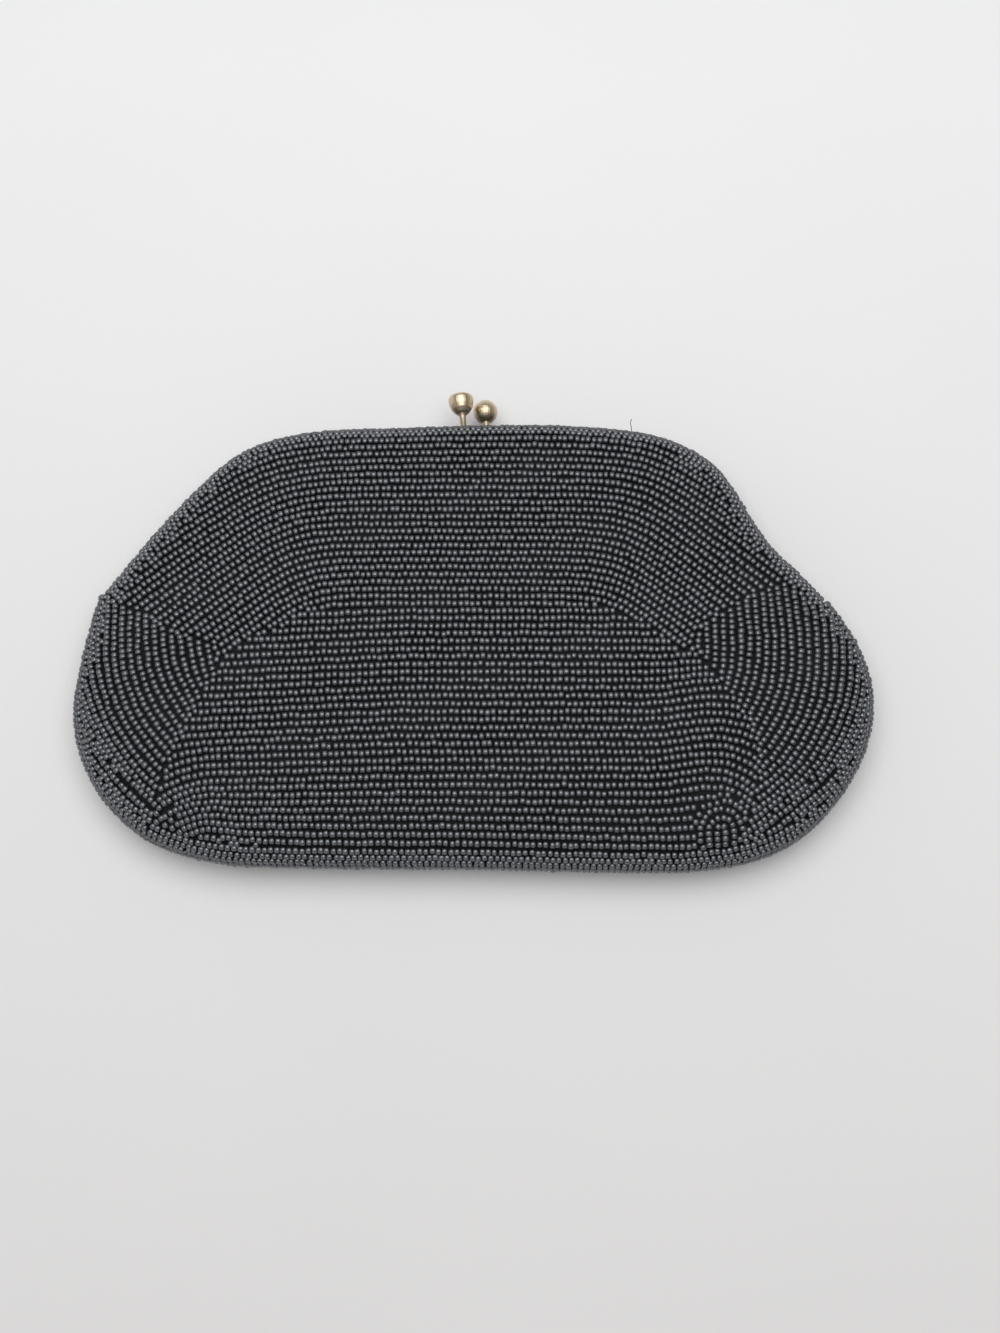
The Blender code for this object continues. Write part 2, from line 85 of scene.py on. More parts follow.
def throughPixel(pixels, level):
    # Where the rays of photograph pixels cross a level.
    across = pixels[:, 0] - photoView["widthPixels"] / 2
    down = pixels[:, 1] - photoView["heightPixels"] / 2
    ray = np.outer(across, viewRight) - np.outer(down, viewUp) - focalPixels * viewBack
    reach = (level - viewPlace[2]) / ray[:, 2]
    return (viewPlace + ray * reach[:, None])[:, :2]


def toPixels(places):
    # Where the camera shows places.
    away = places - viewPlace
    depth = -away @ viewBack
    across = away @ viewRight * focalPixels / depth
    up = away @ viewUp * focalPixels / depth
    return np.stack([photoView["widthPixels"] / 2 + across, photoView["heightPixels"] / 2 - up], axis=1)


# The form of the bag, the same as the solid model

bagForm = {
    "width": 0.2285,
    "bodyHeight": 0.1357,
    "axisX": -0.0001,
    "axisY": 0.00554,
    "middle": 0.0100,
    "frontDepth": 0.0140,
    "rearDepth": 0.0110,
    "rearLimit": 0.0100,
    "coverHeight": 0.0076,
    "coverRound": 0.0060,
    "domeRun": 0.0520,
    "frameRim": [
        (-0.473, 0.020), (-0.416, 0.154), (-0.353, 0.283), (-0.317, 0.340), (-0.275, 0.378),
        (-0.205, 0.404), (-0.105, 0.412), (0.019, 0.419), (0.118, 0.418), (0.216, 0.402),
        (0.262, 0.379), (0.304, 0.338), (0.335, 0.276), (0.358, 0.201), (0.384, 0.129),
        (0.417, 0.069), (0.448, 0.006),
    ],
    "seamRim": [
        (0.448, 0.006), (0.478, -0.064), (0.496, -0.142), (0.500, -0.229), (0.488, -0.314),
        (0.464, -0.392), (0.431, -0.461), (0.390, -0.518), (0.341, -0.554), (0.270, -0.574),
        (0.186, -0.576), (0.000, -0.570), (-0.210, -0.567), (-0.290, -0.562), (-0.341, -0.547),
        (-0.391, -0.517), (-0.433, -0.466), (-0.467, -0.398), (-0.490, -0.318), (-0.500, -0.233),
        (-0.496, -0.146), (-0.488, -0.057), (-0.473, 0.020),
    ],
    "frameMarks": 1200,
    "seamMarks": 1500,
    "gridStep": 0.0010,
    "gridAcross": (-0.118, 0.118),
    "gridAlong": (-0.076, 0.068),
    "swell": 0.00022,  # soft unevenness of the filled bag
    "swellRun": 0.012,  # it fades out over this distance from the rim
    "swellWaves": (190, 150, 83, 210),
    "dropFrom": 0.012,  # first guess of the front height under a pixel
    "dropTurns": 16,
}

middle = bagForm["middle"]
axisY = bagForm["axisY"]


def unit(vectors):
    return vectors / np.linalg.norm(vectors, axis=1)[:, None]


def smoothCurve(points, pieces=24):
    # Centripetal curve through the points.
    run = np.vstack([2 * points[0] - points[1], points, 2 * points[-1] - points[-2]])
    out = []
    for k in range(len(points) - 1):
        a, b, c, d = run[k : k + 4]
        t0 = 0.0
        t1 = t0 + math.sqrt(np.linalg.norm(b - a))
        t2 = t1 + math.sqrt(np.linalg.norm(c - b))
        t3 = t2 + math.sqrt(np.linalg.norm(d - c))
        for t in np.linspace(t1, t2, pieces, endpoint=False):
            a1 = (t1 - t) / (t1 - t0) * a + (t - t0) / (t1 - t0) * b
            a2 = (t2 - t) / (t2 - t1) * b + (t - t1) / (t2 - t1) * c
            a3 = (t3 - t) / (t3 - t2) * c + (t - t2) / (t3 - t2) * d
            b1 = (t2 - t) / (t2 - t0) * a1 + (t - t0) / (t2 - t0) * a2
            b2 = (t3 - t) / (t3 - t1) * a2 + (t - t1) / (t3 - t1) * a3
            out.append((t2 - t) / (t2 - t1) * b1 + (t - t1) / (t2 - t1) * b2)
    out.append(points[-1])
    return np.array(out)


def lengthAlong(curve):
    steps = np.linalg.norm(np.diff(curve, axis=0), axis=1)
    return np.append(0.0, np.cumsum(steps))


def readAlong(places, length, values):
    # What goes with the points of a curve, at places along its length.
    return np.stack([np.interp(places, length, column) for column in values.T], axis=1)


def evenly(curve, count):
    length = lengthAlong(curve)
    return readAlong(np.linspace(0.0, length[-1], count), length, curve)


rimSize = np.array([bagForm["width"], bagForm["bodyHeight"]])
rimShift = np.array([bagForm["axisX"], axisY])
frameRim = smoothCurve(np.array(bagForm["frameRim"]) * rimSize) + rimShift
seamRim = smoothCurve(np.array(bagForm["seamRim"]) * rimSize) + rimShift
frameMarks = evenly(frameRim, bagForm["frameMarks"])
seamMarks = evenly(seamRim, bagForm["seamMarks"])


def nearness(plan, marks, atOnce=1500):
    # How much of a line of marks lies close to points of the plane.
    step = np.linalg.norm(marks[1] - marks[0])
    total = []
    for some in np.array_split(plan, max(1, len(plan) // atOnce)):
        apart = ((some[:, None] - marks[None]) ** 2).sum(axis=2)
        total.append((step / (apart**2 + (step / 4) ** 4)).sum(axis=1))
    return np.concatenate(total)


def bagSkin(plan):
    # Front height, rear height and distance from the rim, at points of the plane.
    nearFrame = nearness(plan, frameMarks)
    nearSeam = nearness(plan, seamMarks)
    share = nearFrame / (nearFrame + nearSeam)
    away = (2 / math.pi * (nearFrame + nearSeam)) ** (-1 / 3)
    left = 1 - np.minimum(away / bagForm["domeRun"], 1.0)
    turn = 1 - np.minimum(away / bagForm["coverRound"], 1.0)
    cover = bagForm["coverHeight"] * np.sqrt(1 - turn**2)
    heights = []
    for depth, limit in ((bagForm["frontDepth"], 1.0), (bagForm["rearDepth"], bagForm["rearLimit"])):
        seamSide = depth * np.sqrt(1 - left**4)
        frameSide = cover + (depth - bagForm["coverHeight"]) * (1 - left**2)
        heights.append(np.minimum(share * frameSide + (1 - share) * seamSide, limit))
    return heights[0], heights[1], away


gridX = np.arange(*bagForm["gridAcross"], bagForm["gridStep"])
gridY = np.arange(*bagForm["gridAlong"], bagForm["gridStep"])
meshX, meshY = np.meshgrid(gridX, gridY)
gridPlan = np.stack([meshX.ravel(), meshY.ravel()], axis=1)
gridFront, gridRear, gridAway = (values.reshape(meshX.shape) for values in bagSkin(gridPlan))
settle = np.clip(gridAway / bagForm["swellRun"], 0, 1) ** 2
wide, tall, slantX, slantY = bagForm["swellWaves"]
waves = np.sin(meshX * wide + 1.3) * np.sin(meshY * tall + 0.4) + np.sin(meshX * slantX - meshY * slantY)
gridFront = gridFront + bagForm["swell"] * settle * (waves - 1.6)
print("bag form measured")


def lookUp(grid, plan):
    # A value of the grid at points of the plane.
    u = np.clip((plan[:, 0] - gridX[0]) / bagForm["gridStep"], 0, len(gridX) - 1.001)
    v = np.clip((plan[:, 1] - gridY[0]) / bagForm["gridStep"], 0, len(gridY) - 1.001)
    i = u.astype(int)
    j = v.astype(int)
    a = u - i
    b = v - j
    low = grid[j, i] * (1 - a) + grid[j, i + 1] * a
    high = grid[j + 1, i] * (1 - a) + grid[j + 1, i + 1] * a
    return low * (1 - b) + high * b


slopes = {
    1: np.gradient(gridFront, bagForm["gridStep"]),
    -1: np.gradient(gridRear, bagForm["gridStep"]),
}
skins = {1: gridFront, -1: gridRear}


def onSkin(plan, side):
    # Points and outward normals on the front (1) or rear (-1) skin.
    rise = lookUp(skins[side], plan)
    alongX = lookUp(slopes[side][1], plan)
    alongY = lookUp(slopes[side][0], plan)
    normals = np.stack([-alongX, -alongY, np.full(len(plan), float(side))], axis=1)
    return np.column_stack([plan, middle + side * rise]), unit(normals)


def dropOnFront(pixels):
    # Plan points of photograph pixels on the front skin.
    level = np.full(len(pixels), middle + bagForm["dropFrom"])
    for turn in range(bagForm["dropTurns"]):
        plan = throughPixel(pixels, level)
        level = 0.5 * level + 0.5 * (middle + lookUp(gridFront, plan))
    return throughPixel(pixels, level)


wholeRim = np.vstack([frameRim[:-1], seamRim[:-1]])
rimAngles = np.arctan2(wholeRim[:, 1] - axisY, wholeRim[:, 0])
rimOrder = np.argsort(rimAngles)
rimReach = np.hypot(wholeRim[:, 0], wholeRim[:, 1] - axisY)


def insideRim(plan):
    angles = np.arctan2(plan[:, 1] - axisY, plan[:, 0])
    reach = np.interp(angles, rimAngles[rimOrder], rimReach[rimOrder], period=2 * math.pi)
    return np.hypot(plan[:, 0], plan[:, 1] - axisY) < reach


# The rows of beads, in pixels of the photograph

sideWords = {-1: "left", 1: "right"}

levelRows = {
    "span": (60, 892),
    "middleAcross": 500,
    "first": 436.0,
    "last": 844.8,
    "extraAbove": 5,  # rows that only show on the shoulders
    "archesEnd": 604,  # rows above this turn down along both shoulders
    "spacing": [(440, 7.2), (600, 7.3), (640, 7.75), (690, 7.95), (750, 8.2), (800, 8.5), (850, 9.0)],
    "leftBend": [(440, 274), (468, 279), (524, 286), (580, 305), (604, 312)],
    "leftSlope": [(440, 0.66), (468, 0.68), (524, 0.75), (604, 0.76)],
    "leftSoftness": [(440, 26), (524, 20), (604, 13)],
    "rightBend": [(440, 652), (468, 649), (524, 630), (580, 616), (604, 610)],
    "rightSlope": [(440, 0.72), (524, 0.78), (604, 0.82)],
    "rightSoftness": [(440, 20), (604, 14)],
    "leftFall": [(604, 8), (690, 8), (776, 4.5), (845, 0)],
    "leftFallFrom": 400,
    "leftFallRun": 180,
    "leftFallMost": 1.3,
    "leftHook": [(700, 0.0), (720, 0.001), (750, 0.0036), (780, 0.0057), (810, 0.008), (840, 0.017)],
    "leftHookFrom": 215,
    "rightRise": [(640, 0), (690, 7), (790, 6), (840, 0)],
    "rightRiseFrom": 650,
    "rightRiseRun": 60,
    "rightHook": [(640, 0), (690, 0.003), (735, 0.005), (780, 0.011), (810, 0.0135)],
    "rightHookFrom": 715,
    "underRim": 5.6,  # from the innermost rim row at the top to the first row
    "crowded": 6.6,  # closest spacing of the rows below it
    "pushSoftness": 1.5,
    "freeBetween": (268, 666),
    "freeFade": 25,
    "sagBegins": 780,
    "sagWhole": 835,
}

sideRows = {
    "leftFrom": (76, 716),
    "leftTo": (232, 648),
    "leftSpacing": [(77, 5.0), (83, 6.2), (92, 7.6), (104, 8.5), (150, 8.7), (230, 8.8)],
    # where across the picture, then how far the rows lean from upright at each height
    "leftColumns": (108, 180),
    "leftLean": [
        (600, -4, 0), (640, -2, 4), (660, 4, 12), (680, 13, 26), (700, 18, 32), (720, 26, 40),
        (740, 30, 44), (760, 36, 47), (780, 38, 50), (800, 41, 56), (820, 46, 62), (840, 52, 66),
    ],
    "rightFrom": (870, 716),
    "rightTo": (686, 650),
    "rightSpacing": [(686, 8.7), (800, 8.7), (840, 8.7), (852, 8.0), (862, 6.6), (870, 5.0)],
    "rightColumns": (745, 790, 850),
    "rightLean": [
        (600, 8, 8, 8), (632, 3, 6, 6), (650, -1, 1, 2), (668, -10, -4, -4), (686, -19, -14, -6),
        (704, -26, -20, -16), (722, -33, -26, -21), (740, -42, -31, -27), (758, -50, -38, -30),
        (776, -53, -47, -40), (794, -53, -51, -47), (840, -52, -51, -52),
    ],
    "traceStep": 2.0,
    "traceTurns": 170,
    "traceTop": 560,
    "traceFoot": 886,
    "gentleSlope": 0.80,  # cosine of the slope from which rows are foreshortened
    "lateFrom": 722,  # from here down, more rows start at the rim
    "lateTo": 850,
    "lateStep": 4,
    "lateOutside": 100,  # from the middle of the picture
}

swirls = {
    "right": {"centre": (722, 830), "radii": (4, 12.5, 21, 29.5), "reach": 34, "foot": 884},
    "left": {"centre": (204, 858), "radii": (4, 12, 20), "reach": 25, "foot": 884},
}

seams = {
    "upperEdge": [
        (60, 575), (111, 600), (157, 617), (170, 628), (229, 650), (266, 627), (307, 608),
        (340, 606), (580, 606), (605, 604), (640, 618), (690, 648), (699, 624), (719, 613),
        (747, 595), (791, 578), (900, 560),
    ],
    "leftMitre": [
        (222, 600), (229, 648), (218, 670), (203, 692), (192, 714), (183, 732), (172, 758),
        (163, 780), (157, 800), (155, 824), (164, 839), (190, 875),
    ],
    "rightMitre": [
        (690, 600), (690, 646), (701, 659), (714, 674), (732, 692), (745, 714), (754, 736),
        (758, 758), (757, 780), (754, 802), (754, 817), (741, 846), (735, 875),
    ],
    "swirlEdge": [(690, 786), (692, 813), (697, 846), (702, 875)],
}

beadwork = {
    "pitch": 0.00170,
    "length": 0.00160,
    "radius": 0.00100,
    "sink": 0.00094,  # bead centre below the skin
    "rimStations": 420,
    "rimDepths": [
        0.00002, 0.00010, 0.00025, 0.0005, 0.0008, 0.0012, 0.0017, 0.0023, 0.0030, 0.0038,
        0.0048, 0.0060, 0.0074,
    ],
    "rimSpacing": 0.00222,
    "firstRowRise": 0.0002,  # keeps the front and rear rows apart at the mouth
    "slopeStep": 0.0005,
    "frameRimRows": 5,
    "seamRimRows": 4,
    "wholeRimRows": 3,  # the others only run along the bottom
    "bottomBelow": -0.0605,
    "hingeSteps": (0.0010, 0.0014),  # right and left, where the seam stands proud of the frame
    "hingeStepReach": 0.011,
    "edgeRoom": {"arch": 0.0017, "level": 0.0017, "sides": 0.0017},
    "overlap": 3,  # pixels by which the rows of one zone may enter the next
    "closest": 0.00158,
    "cell": 0.002,
    "shortestRun": 5,  # beads in a stretch of a row
    "fillGaps": {"arch": 0.00157, "level": 0.00160, "rim": 0.00152, "side": 0.00157},
    "fillStep": 0.00025,
    "fillAcross": (-0.116, 0.116),
    "fillAlong": (-0.075, 0.066),
    "fillFromRim": 0.0012,
    "settleTurns": 30,
    "settleReach": 0.0028,
    "pushShare": 0.3,
    "homeShare": 0.05,
    "roomAlong": 0.00164,
    "roomAcross": 0.00184,
    "wander": 0.00008,
    "sway": 0.00009,  # slow drift of a row to its sides
    "swayWaves": (420, 980),
    "threadStep": 0.0004,
    "turnDegrees": 5.0,
    "sizeSpread": 0.045,
    "segments": 10,
    "barrel": [(-0.50, 0.64), (-0.27, 1.0), (0.27, 1.0), (0.50, 0.64)],  # along, radius
    "dimple": 0.40,
    "mostInPiece": 2400,
    "seed": 41,
}

random = np.random.default_rng(beadwork["seed"])


def readAt(pairs, value):
    table = np.array(pairs, float)
    return np.interp(value, table[:, 0], table[:, 1])


def softly(value, soft):
    # Zero below zero and the value itself above it, with a soft change.
    return soft * np.log1p(np.exp(np.clip(value / soft, -30, 30)))


def rimRows(side):
    # Rows that follow the rim, at set distances up the skin.
    depths = np.array(beadwork["rimDepths"])
    for name, rim in (("frame", frameRim), ("seam", seamRim)):
        rowCount = beadwork[name + "RimRows"]
        stations = evenly(rim, beadwork["rimStations"])
        length = lengthAlong(stations)
        forward = unit(np.gradient(stations, axis=0))
        inward = np.stack([forward[:, 1], -forward[:, 0]], axis=1)
        plan = stations[:, None] + inward[:, None] * depths[None, :, None]
        heights = bagSkin(plan.reshape(-1, 2))[0 if side > 0 else 1].reshape(plan.shape[:2])
        start = np.zeros((len(stations), 1))
        deep = np.hstack([start, np.tile(depths, (len(stations), 1))])
        high = np.hstack([start, heights])
        run = np.hstack([start, np.hypot(np.diff(deep, axis=1), np.diff(high, axis=1)).cumsum(axis=1)])

        def upSkin(reach):
            # Depth and height at a distance up the skin.
            return [np.array([np.interp(reach, *pair) for pair in zip(run, part)]) for part in (deep, high)]

        for row in range(rowCount):
            reach = (row + 0.5) * beadwork["rimSpacing"]
            if name == "frame" and row == 0:
                reach += beadwork["firstRowRise"]
            depth, height = upSkin(reach)
            depthAhead, heightAhead = upSkin(reach + beadwork["slopeStep"])
            depthBack, heightBack = upSkin(reach - beadwork["slopeStep"])
            points = np.column_stack([stations + inward * depth[:, None], middle + side * height])
            if name == "seam":
                for proud, far in zip(beadwork["hingeSteps"], (length, length[-1] - length)):
                    fade = np.clip(1 - far / beadwork["hingeStepReach"], 0, 1) * (1 - row / rowCount)
                    points[:, :2] -= inward * (proud * fade)[:, None]
            steep = heightAhead - heightBack
            normals = unit(np.column_stack([-inward * steep[:, None], side * (depthAhead - depthBack)]))
            if name == "seam" and row >= beadwork["wholeRimRows"]:
                bottom = points[:, 1] < beadwork["bottomBelow"]
                points = points[bottom]
                normals = normals[bottom]
            yield points, normals


frontRim = [toPixels(points) for points, normals in rimRows(1)]
topLine = frontRim[beadwork["frameRimRows"] - 1]
bottomLine = frontRim[-1]
bottomLine = bottomLine[np.argsort(bottomLine[:, 0])]


def levelRow(start):
    # One row that runs level through the middle, and bends at both ends.
    rows = levelRows
    x = np.arange(*rows["span"], 1.0)
    if start <= rows["archesEnd"]:
        y = start
        for side, word in sideWords.items():
            bend, slope, soft = (readAt(rows[word + part], start) for part in ("Bend", "Slope", "Softness"))
            y = y + slope * softly(side * (x - bend), soft)
        number = (start - rows["first"]) / rows["spacing"][0][1]
        limit = np.interp(x, *topLine.T) + rows["underRim"] + rows["crowded"] * number
        inside = 1.0
        for side, end in zip((1, -1), rows["freeBetween"]):
            inside = inside * np.clip(side * (x - end) / rows["freeFade"] + 0.5, 0, 1)
        return np.stack([x, y + inside * softly(limit - y, rows["pushSoftness"])], axis=1)
    fallen = np.clip((rows["leftFallFrom"] - x) / rows["leftFallRun"], 0, rows["leftFallMost"])
    fall = readAt(rows["leftFall"], start) * fallen
    hook = readAt(rows["leftHook"], start) * np.clip(rows["leftHookFrom"] - x, 0, None) ** 2
    step = np.clip((x - rows["rightRiseFrom"]) / rows["rightRiseRun"], 0, 1)
    rise = readAt(rows["rightRise"], start) * step**2 * (3 - 2 * step)
    drop = readAt(rows["rightHook"], start) * np.clip(x - rows["rightHookFrom"], 0, None) ** 2
    low = np.clip((start - rows["sagBegins"]) / (rows["sagWhole"] - rows["sagBegins"]), 0, 1)
    sag = np.interp(x, *bottomLine.T) - np.interp(rows["middleAcross"], *bottomLine.T)
    return np.stack([x, start + fall + hook - rise + drop + low * sag], axis=1)


def headings(word, spots):
    # Downward direction of the side rows at pixels, flattened towards the rim by foreshortening.
    table = np.array(sideRows[word + "Lean"], float)
    leans = np.array([np.interp(spots[:, 1], table[:, 0], column) for column in table[:, 1:].T])
    columns = sideRows[word + "Columns"]
    lean = np.radians([np.interp(x, columns, some) for x, some in zip(spots[:, 0], leans.T)])
    way = np.stack([np.sin(lean), np.cos(lean)], axis=1)
    plan = dropOnFront(spots)
    uphill = np.stack([lookUp(slopes[1][1], plan), -lookUp(slopes[1][0], plan)], axis=1)
    steep = np.linalg.norm(uphill, axis=1) + 1e-9
    uphill /= steep[:, None]
    squeeze = np.minimum(1.0, 1 / np.sqrt(1 + steep**2) / sideRows["gentleSlope"])
    way -= uphill * ((way * uphill).sum(axis=1) * (1 - squeeze))[:, None]
    return unit(way)


def traced(word, starts, turnsUp, turnsDown):
    # Lines through the starts, followed up and down.
    steps = [starts]
    for turn in range(turnsUp):
        steps.insert(0, steps[0] - sideRows["traceStep"] * headings(word, steps[0]))
    for turn in range(turnsDown):
        steps.append(steps[-1] + sideRows["traceStep"] * headings(word, steps[-1]))
    first, last = levelRows["span"]
    for line in np.array(steps).transpose(1, 0, 2):
        x, y = line.T
        line = line[(y > sideRows["traceTop"]) & (y < sideRows["traceFoot"]) & (x > first) & (x < last)]
        yield evenly(line, int(lengthAlong(line)[-1]))


def lateRow(side):
    # Rows that start at the rim below the widest place of the left (-1) or right (1) side.
    rim = frontRim[beadwork["frameRimRows"] + beadwork["wholeRimRows"] - 1]
    x, y = rim.T
    outside = side * (x - levelRows["middleAcross"]) > sideRows["lateOutside"]
    rim = rim[outside & (y > sideRows["lateFrom"]) & (y < sideRows["lateTo"])]
    starts = evenly(rim, int(lengthAlong(rim)[-1] / sideRows["lateStep"]))
    return traced(sideWords[side], starts, 0, sideRows["traceTurns"] // 2)


def sideRow(side):
    # Rows of the left (-1) or right (1) side, followed from a slanting line.
    word = sideWords[side]
    first = np.array(sideRows[word + "From"], float)
    way = np.array(sideRows[word + "To"], float) - first
    reach = np.linalg.norm(way)
    gone = [0.0]
    while gone[-1] < reach:
        x = first[0] + way[0] * gone[-1] / reach
        gone.append(gone[-1] + readAt(sideRows[word + "Spacing"], x))
    starts = first + np.outer(gone, way / reach)
    return traced(word, starts, sideRows["traceTurns"], sideRows["traceTurns"])


def swirlArch(swirl, radius):
    angle = np.radians(np.arange(0, 181, 6))
    x, y = swirl["centre"]
    arch = np.stack([x - radius * np.cos(angle), y - radius * np.sin(angle)], axis=1)
    whole = np.vstack([[(x - radius, swirl["foot"])], arch, [(x + radius, swirl["foot"])]])
    return evenly(whole, int(lengthAlong(whole)[-1]))


def inSwirl(pixels, swirl):
    x, y = swirl["centre"]
    up = np.minimum(pixels[:, 1] - y, 0)
    return np.hypot(pixels[:, 0] - x, up) < swirl["reach"]


def zoneOf(pixels):
    # The zone of the beadwork that each pixel lies in.
    x, y = pixels.T

    def edgeAt(name):
        across, down = np.array(seams[name], float).T
        return np.interp(y, down, across)

    zone = np.full(len(pixels), "level")
    zone = np.where(inSwirl(pixels, swirls["right"]) & (x > edgeAt("swirlEdge")), "rightSwirl", zone)
    zone = np.where(inSwirl(pixels, swirls["left"]), "leftSwirl", zone)
    zone = np.where(x < edgeAt("leftMitre"), "leftSide", zone)
    zone = np.where(x > edgeAt("rightMitre"), "rightSide", zone)
    return np.where(y < np.interp(x, *np.array(seams["upperEdge"], float).T), "arch", zone)


def plannedRows():
    # Every row inside the rim rows, with its zone.
    starts = [levelRows["first"]]
    while starts[-1] < levelRows["last"]:
        starts.append(starts[-1] + readAt(levelRows["spacing"], starts[-1]))
    starts = np.array(starts)
    stretch = (levelRows["last"] - starts[0]) / (starts[-1] - starts[0])
    above = starts[0] - levelRows["spacing"][0][1] * np.arange(levelRows["extraAbove"], 0, -1)
    for start in np.append(above, starts[0] + (starts - starts[0]) * stretch):
        yield ("arch" if start <= levelRows["archesEnd"] else "level"), levelRow(start)
    for side, word in sideWords.items():
        for rows in (sideRow(side), lateRow(side)):
            for pixels in rows:
                yield word + "Side", pixels
    for name, swirl in swirls.items():
        for radius in swirl["radii"]:
            yield name + "Swirl", swirlArch(swirl, radius)


def runsOf(keep, least):
    # Unbroken stretches of a row.
    edges = np.flatnonzero(np.diff(np.concatenate([[0], keep.astype(int), [0]])))
    return [slice(a, b) for a, b in zip(edges[::2], edges[1::2]) if b - a >= least]


def squareTo(thread, normal):
    return unit(normal - thread * (normal * thread).sum(axis=1)[:, None])


def stringBeads(points, normals):
    # Bead places along a row: centre, direction of the thread and normal.
    length = lengthAlong(points)
    if length[-1] < beadwork["pitch"]:
        return []
    count = int(length[-1] / beadwork["pitch"])
    spare = length[-1] - count * beadwork["pitch"]
    places = spare / 2 + (np.arange(count) + 0.5) * beadwork["pitch"]
    phases = random.uniform(0, 2 * math.pi, 2)
    swing = [np.sin(places * wave + phase) for wave, phase in zip(beadwork["swayWaves"], phases)]
    drift = beadwork["sway"] * sum(swing) / 1.4
    step = beadwork["threadStep"]
    thread = unit(readAlong(places + step, length, points) - readAlong(places - step, length, points))
    normal = squareTo(thread, readAlong(places, length, normals))
    centre = readAlong(places, length, points) + np.cross(normal, thread) * drift[:, None]
    return list(zip(centre - normal * beadwork["sink"], thread, normal))


def layBeads(side):
    # All beads of one panel, with the zone that each belongs to.
    laid = []
    taken = {}

    def cellOf(place):
        return tuple(int(math.floor(value / beadwork["cell"])) for value in place)

    def blocked(place, family, closest):
        cx, cy, cz = cellOf(place)
        for dx in (-1, 0, 1):
            for dy in (-1, 0, 1):
                for dz in (-1, 0, 1):
                    for other, owner in taken.get((cx + dx, cy + dy, cz + dz), ()):
                        if owner != family and np.linalg.norm(other - place) < closest:
                            return True
        return False

    def accept(beads, zone, family):
        free = np.array([not blocked(bead[0], family, beadwork["closest"]) for bead in beads], bool)
        for stretch in runsOf(free, beadwork["shortestRun"]):
            for centre, thread, normal in beads[stretch]:
                taken.setdefault(cellOf(centre), []).append((centre, family))
                laid.append((centre, thread, normal, zone))

    for number, (points, normals) in enumerate(rimRows(side)):
        accept(stringBeads(points, normals), "rim", ("rim", number))
    for number, (zone, pixels) in enumerate(plannedRows()):
        plan = dropOnFront(pixels)
        room = beadwork["edgeRoom"].get(zone, beadwork["edgeRoom"]["sides"])
        over = beadwork["overlap"]
        keep = np.any([zoneOf(pixels + (shift, 0)) == zone for shift in (-over, 0, over)], axis=0)
        keep = keep & insideRim(plan) & (lookUp(gridAway, plan) > room)
        points, normals = onSkin(plan, side)
        for stretch in runsOf(keep, 4):
            accept(stringBeads(points[stretch], normals[stretch]), zone, (zone, number))

    # Single beads fill the holes where rows meet.
    tree = treeOf(laid)
    across = np.arange(*beadwork["fillAcross"], beadwork["fillStep"])
    down = np.arange(*beadwork["fillAlong"], beadwork["fillStep"])
    spots = np.stack([grid.ravel() for grid in np.meshgrid(across, down)], axis=1)
    spots = spots[insideRim(spots) & (lookUp(gridAway, spots) > beadwork["fillFromRim"])]
    points, normals = onSkin(spots, side)
    least = min(beadwork["fillGaps"].values())
    holes = []
    for centre, normal in zip(points - normals * beadwork["sink"], normals):
        nearest = tree.find(centre)
        if nearest[2] > least:
            holes.append((-nearest[2], len(holes), centre, normal, nearest[1]))
    for gap, number, centre, normal, neighbour in sorted(holes):
        zone = laid[neighbour][3]
        widest = beadwork["fillGaps"].get(zone, beadwork["fillGaps"]["side"])
        if zone != "rim" and any(laid[k][3] == "rim" for spot, k, apart in tree.find_n(centre, 4)):
            widest = beadwork["fillGaps"]["rim"]
        if -gap > widest and not blocked(centre, "fill", widest):
            thread = laid[neighbour][1]
            thread = thread - normal * float(np.dot(normal, thread))
            thread = thread / np.linalg.norm(thread)
            taken.setdefault(cellOf(centre), []).append((centre, number))
            laid.append((centre, thread, normal, zone if zone != "rim" else "arch"))
    return settled(laid, side)


def treeOf(laid):
    # For finding the beads near a place.
    tree = KDTree(len(laid))
    for number, bead in enumerate(laid):
        tree.insert(bead[0], number)
    tree.balance()
    return tree


def settled(laid, side):
    # Beads that lie too close push one another along the skin.
    centre, thread, normal = (np.array([bead[k] for bead in laid]) for k in range(3))
    tree = treeOf(laid)
    pairs = []
    for number, place in enumerate(centre):
        close = tree.find_range(place, beadwork["settleReach"])
        pairs += [(number, other) for spot, other, apart in close if other > number]
    first, second = np.array(pairs).T
    loose = np.array([bead[3] != "rim" for bead in laid])
    home = centre.copy()
    for turn in range(beadwork["settleTurns"]):
        gap = centre[second] - centre[first]
        apart = np.linalg.norm(gap, axis=1)
        way = gap / apart[:, None]
        straight = ((way * thread[first]).sum(axis=1) ** 2 + (way * thread[second]).sum(axis=1) ** 2) / 2
        room = beadwork["roomAcross"] + (beadwork["roomAlong"] - beadwork["roomAcross"]) * straight
        push = way * (np.clip(room - apart, 0, None) * beadwork["pushShare"])[:, None]
        move = (home - centre) * beadwork["homeShare"]
        np.add.at(move, first, -push)
        np.add.at(move, second, push)
        above = centre[loose] + move[loose] + normal[loose] * beadwork["sink"]
        points, normals = onSkin(above[:, :2], side)
        centre[loose] = points - normals * beadwork["sink"]
        normal[loose] = normals
    return [(c, t, n, bead[3]) for c, t, n, bead in zip(centre, thread, normal, laid)]


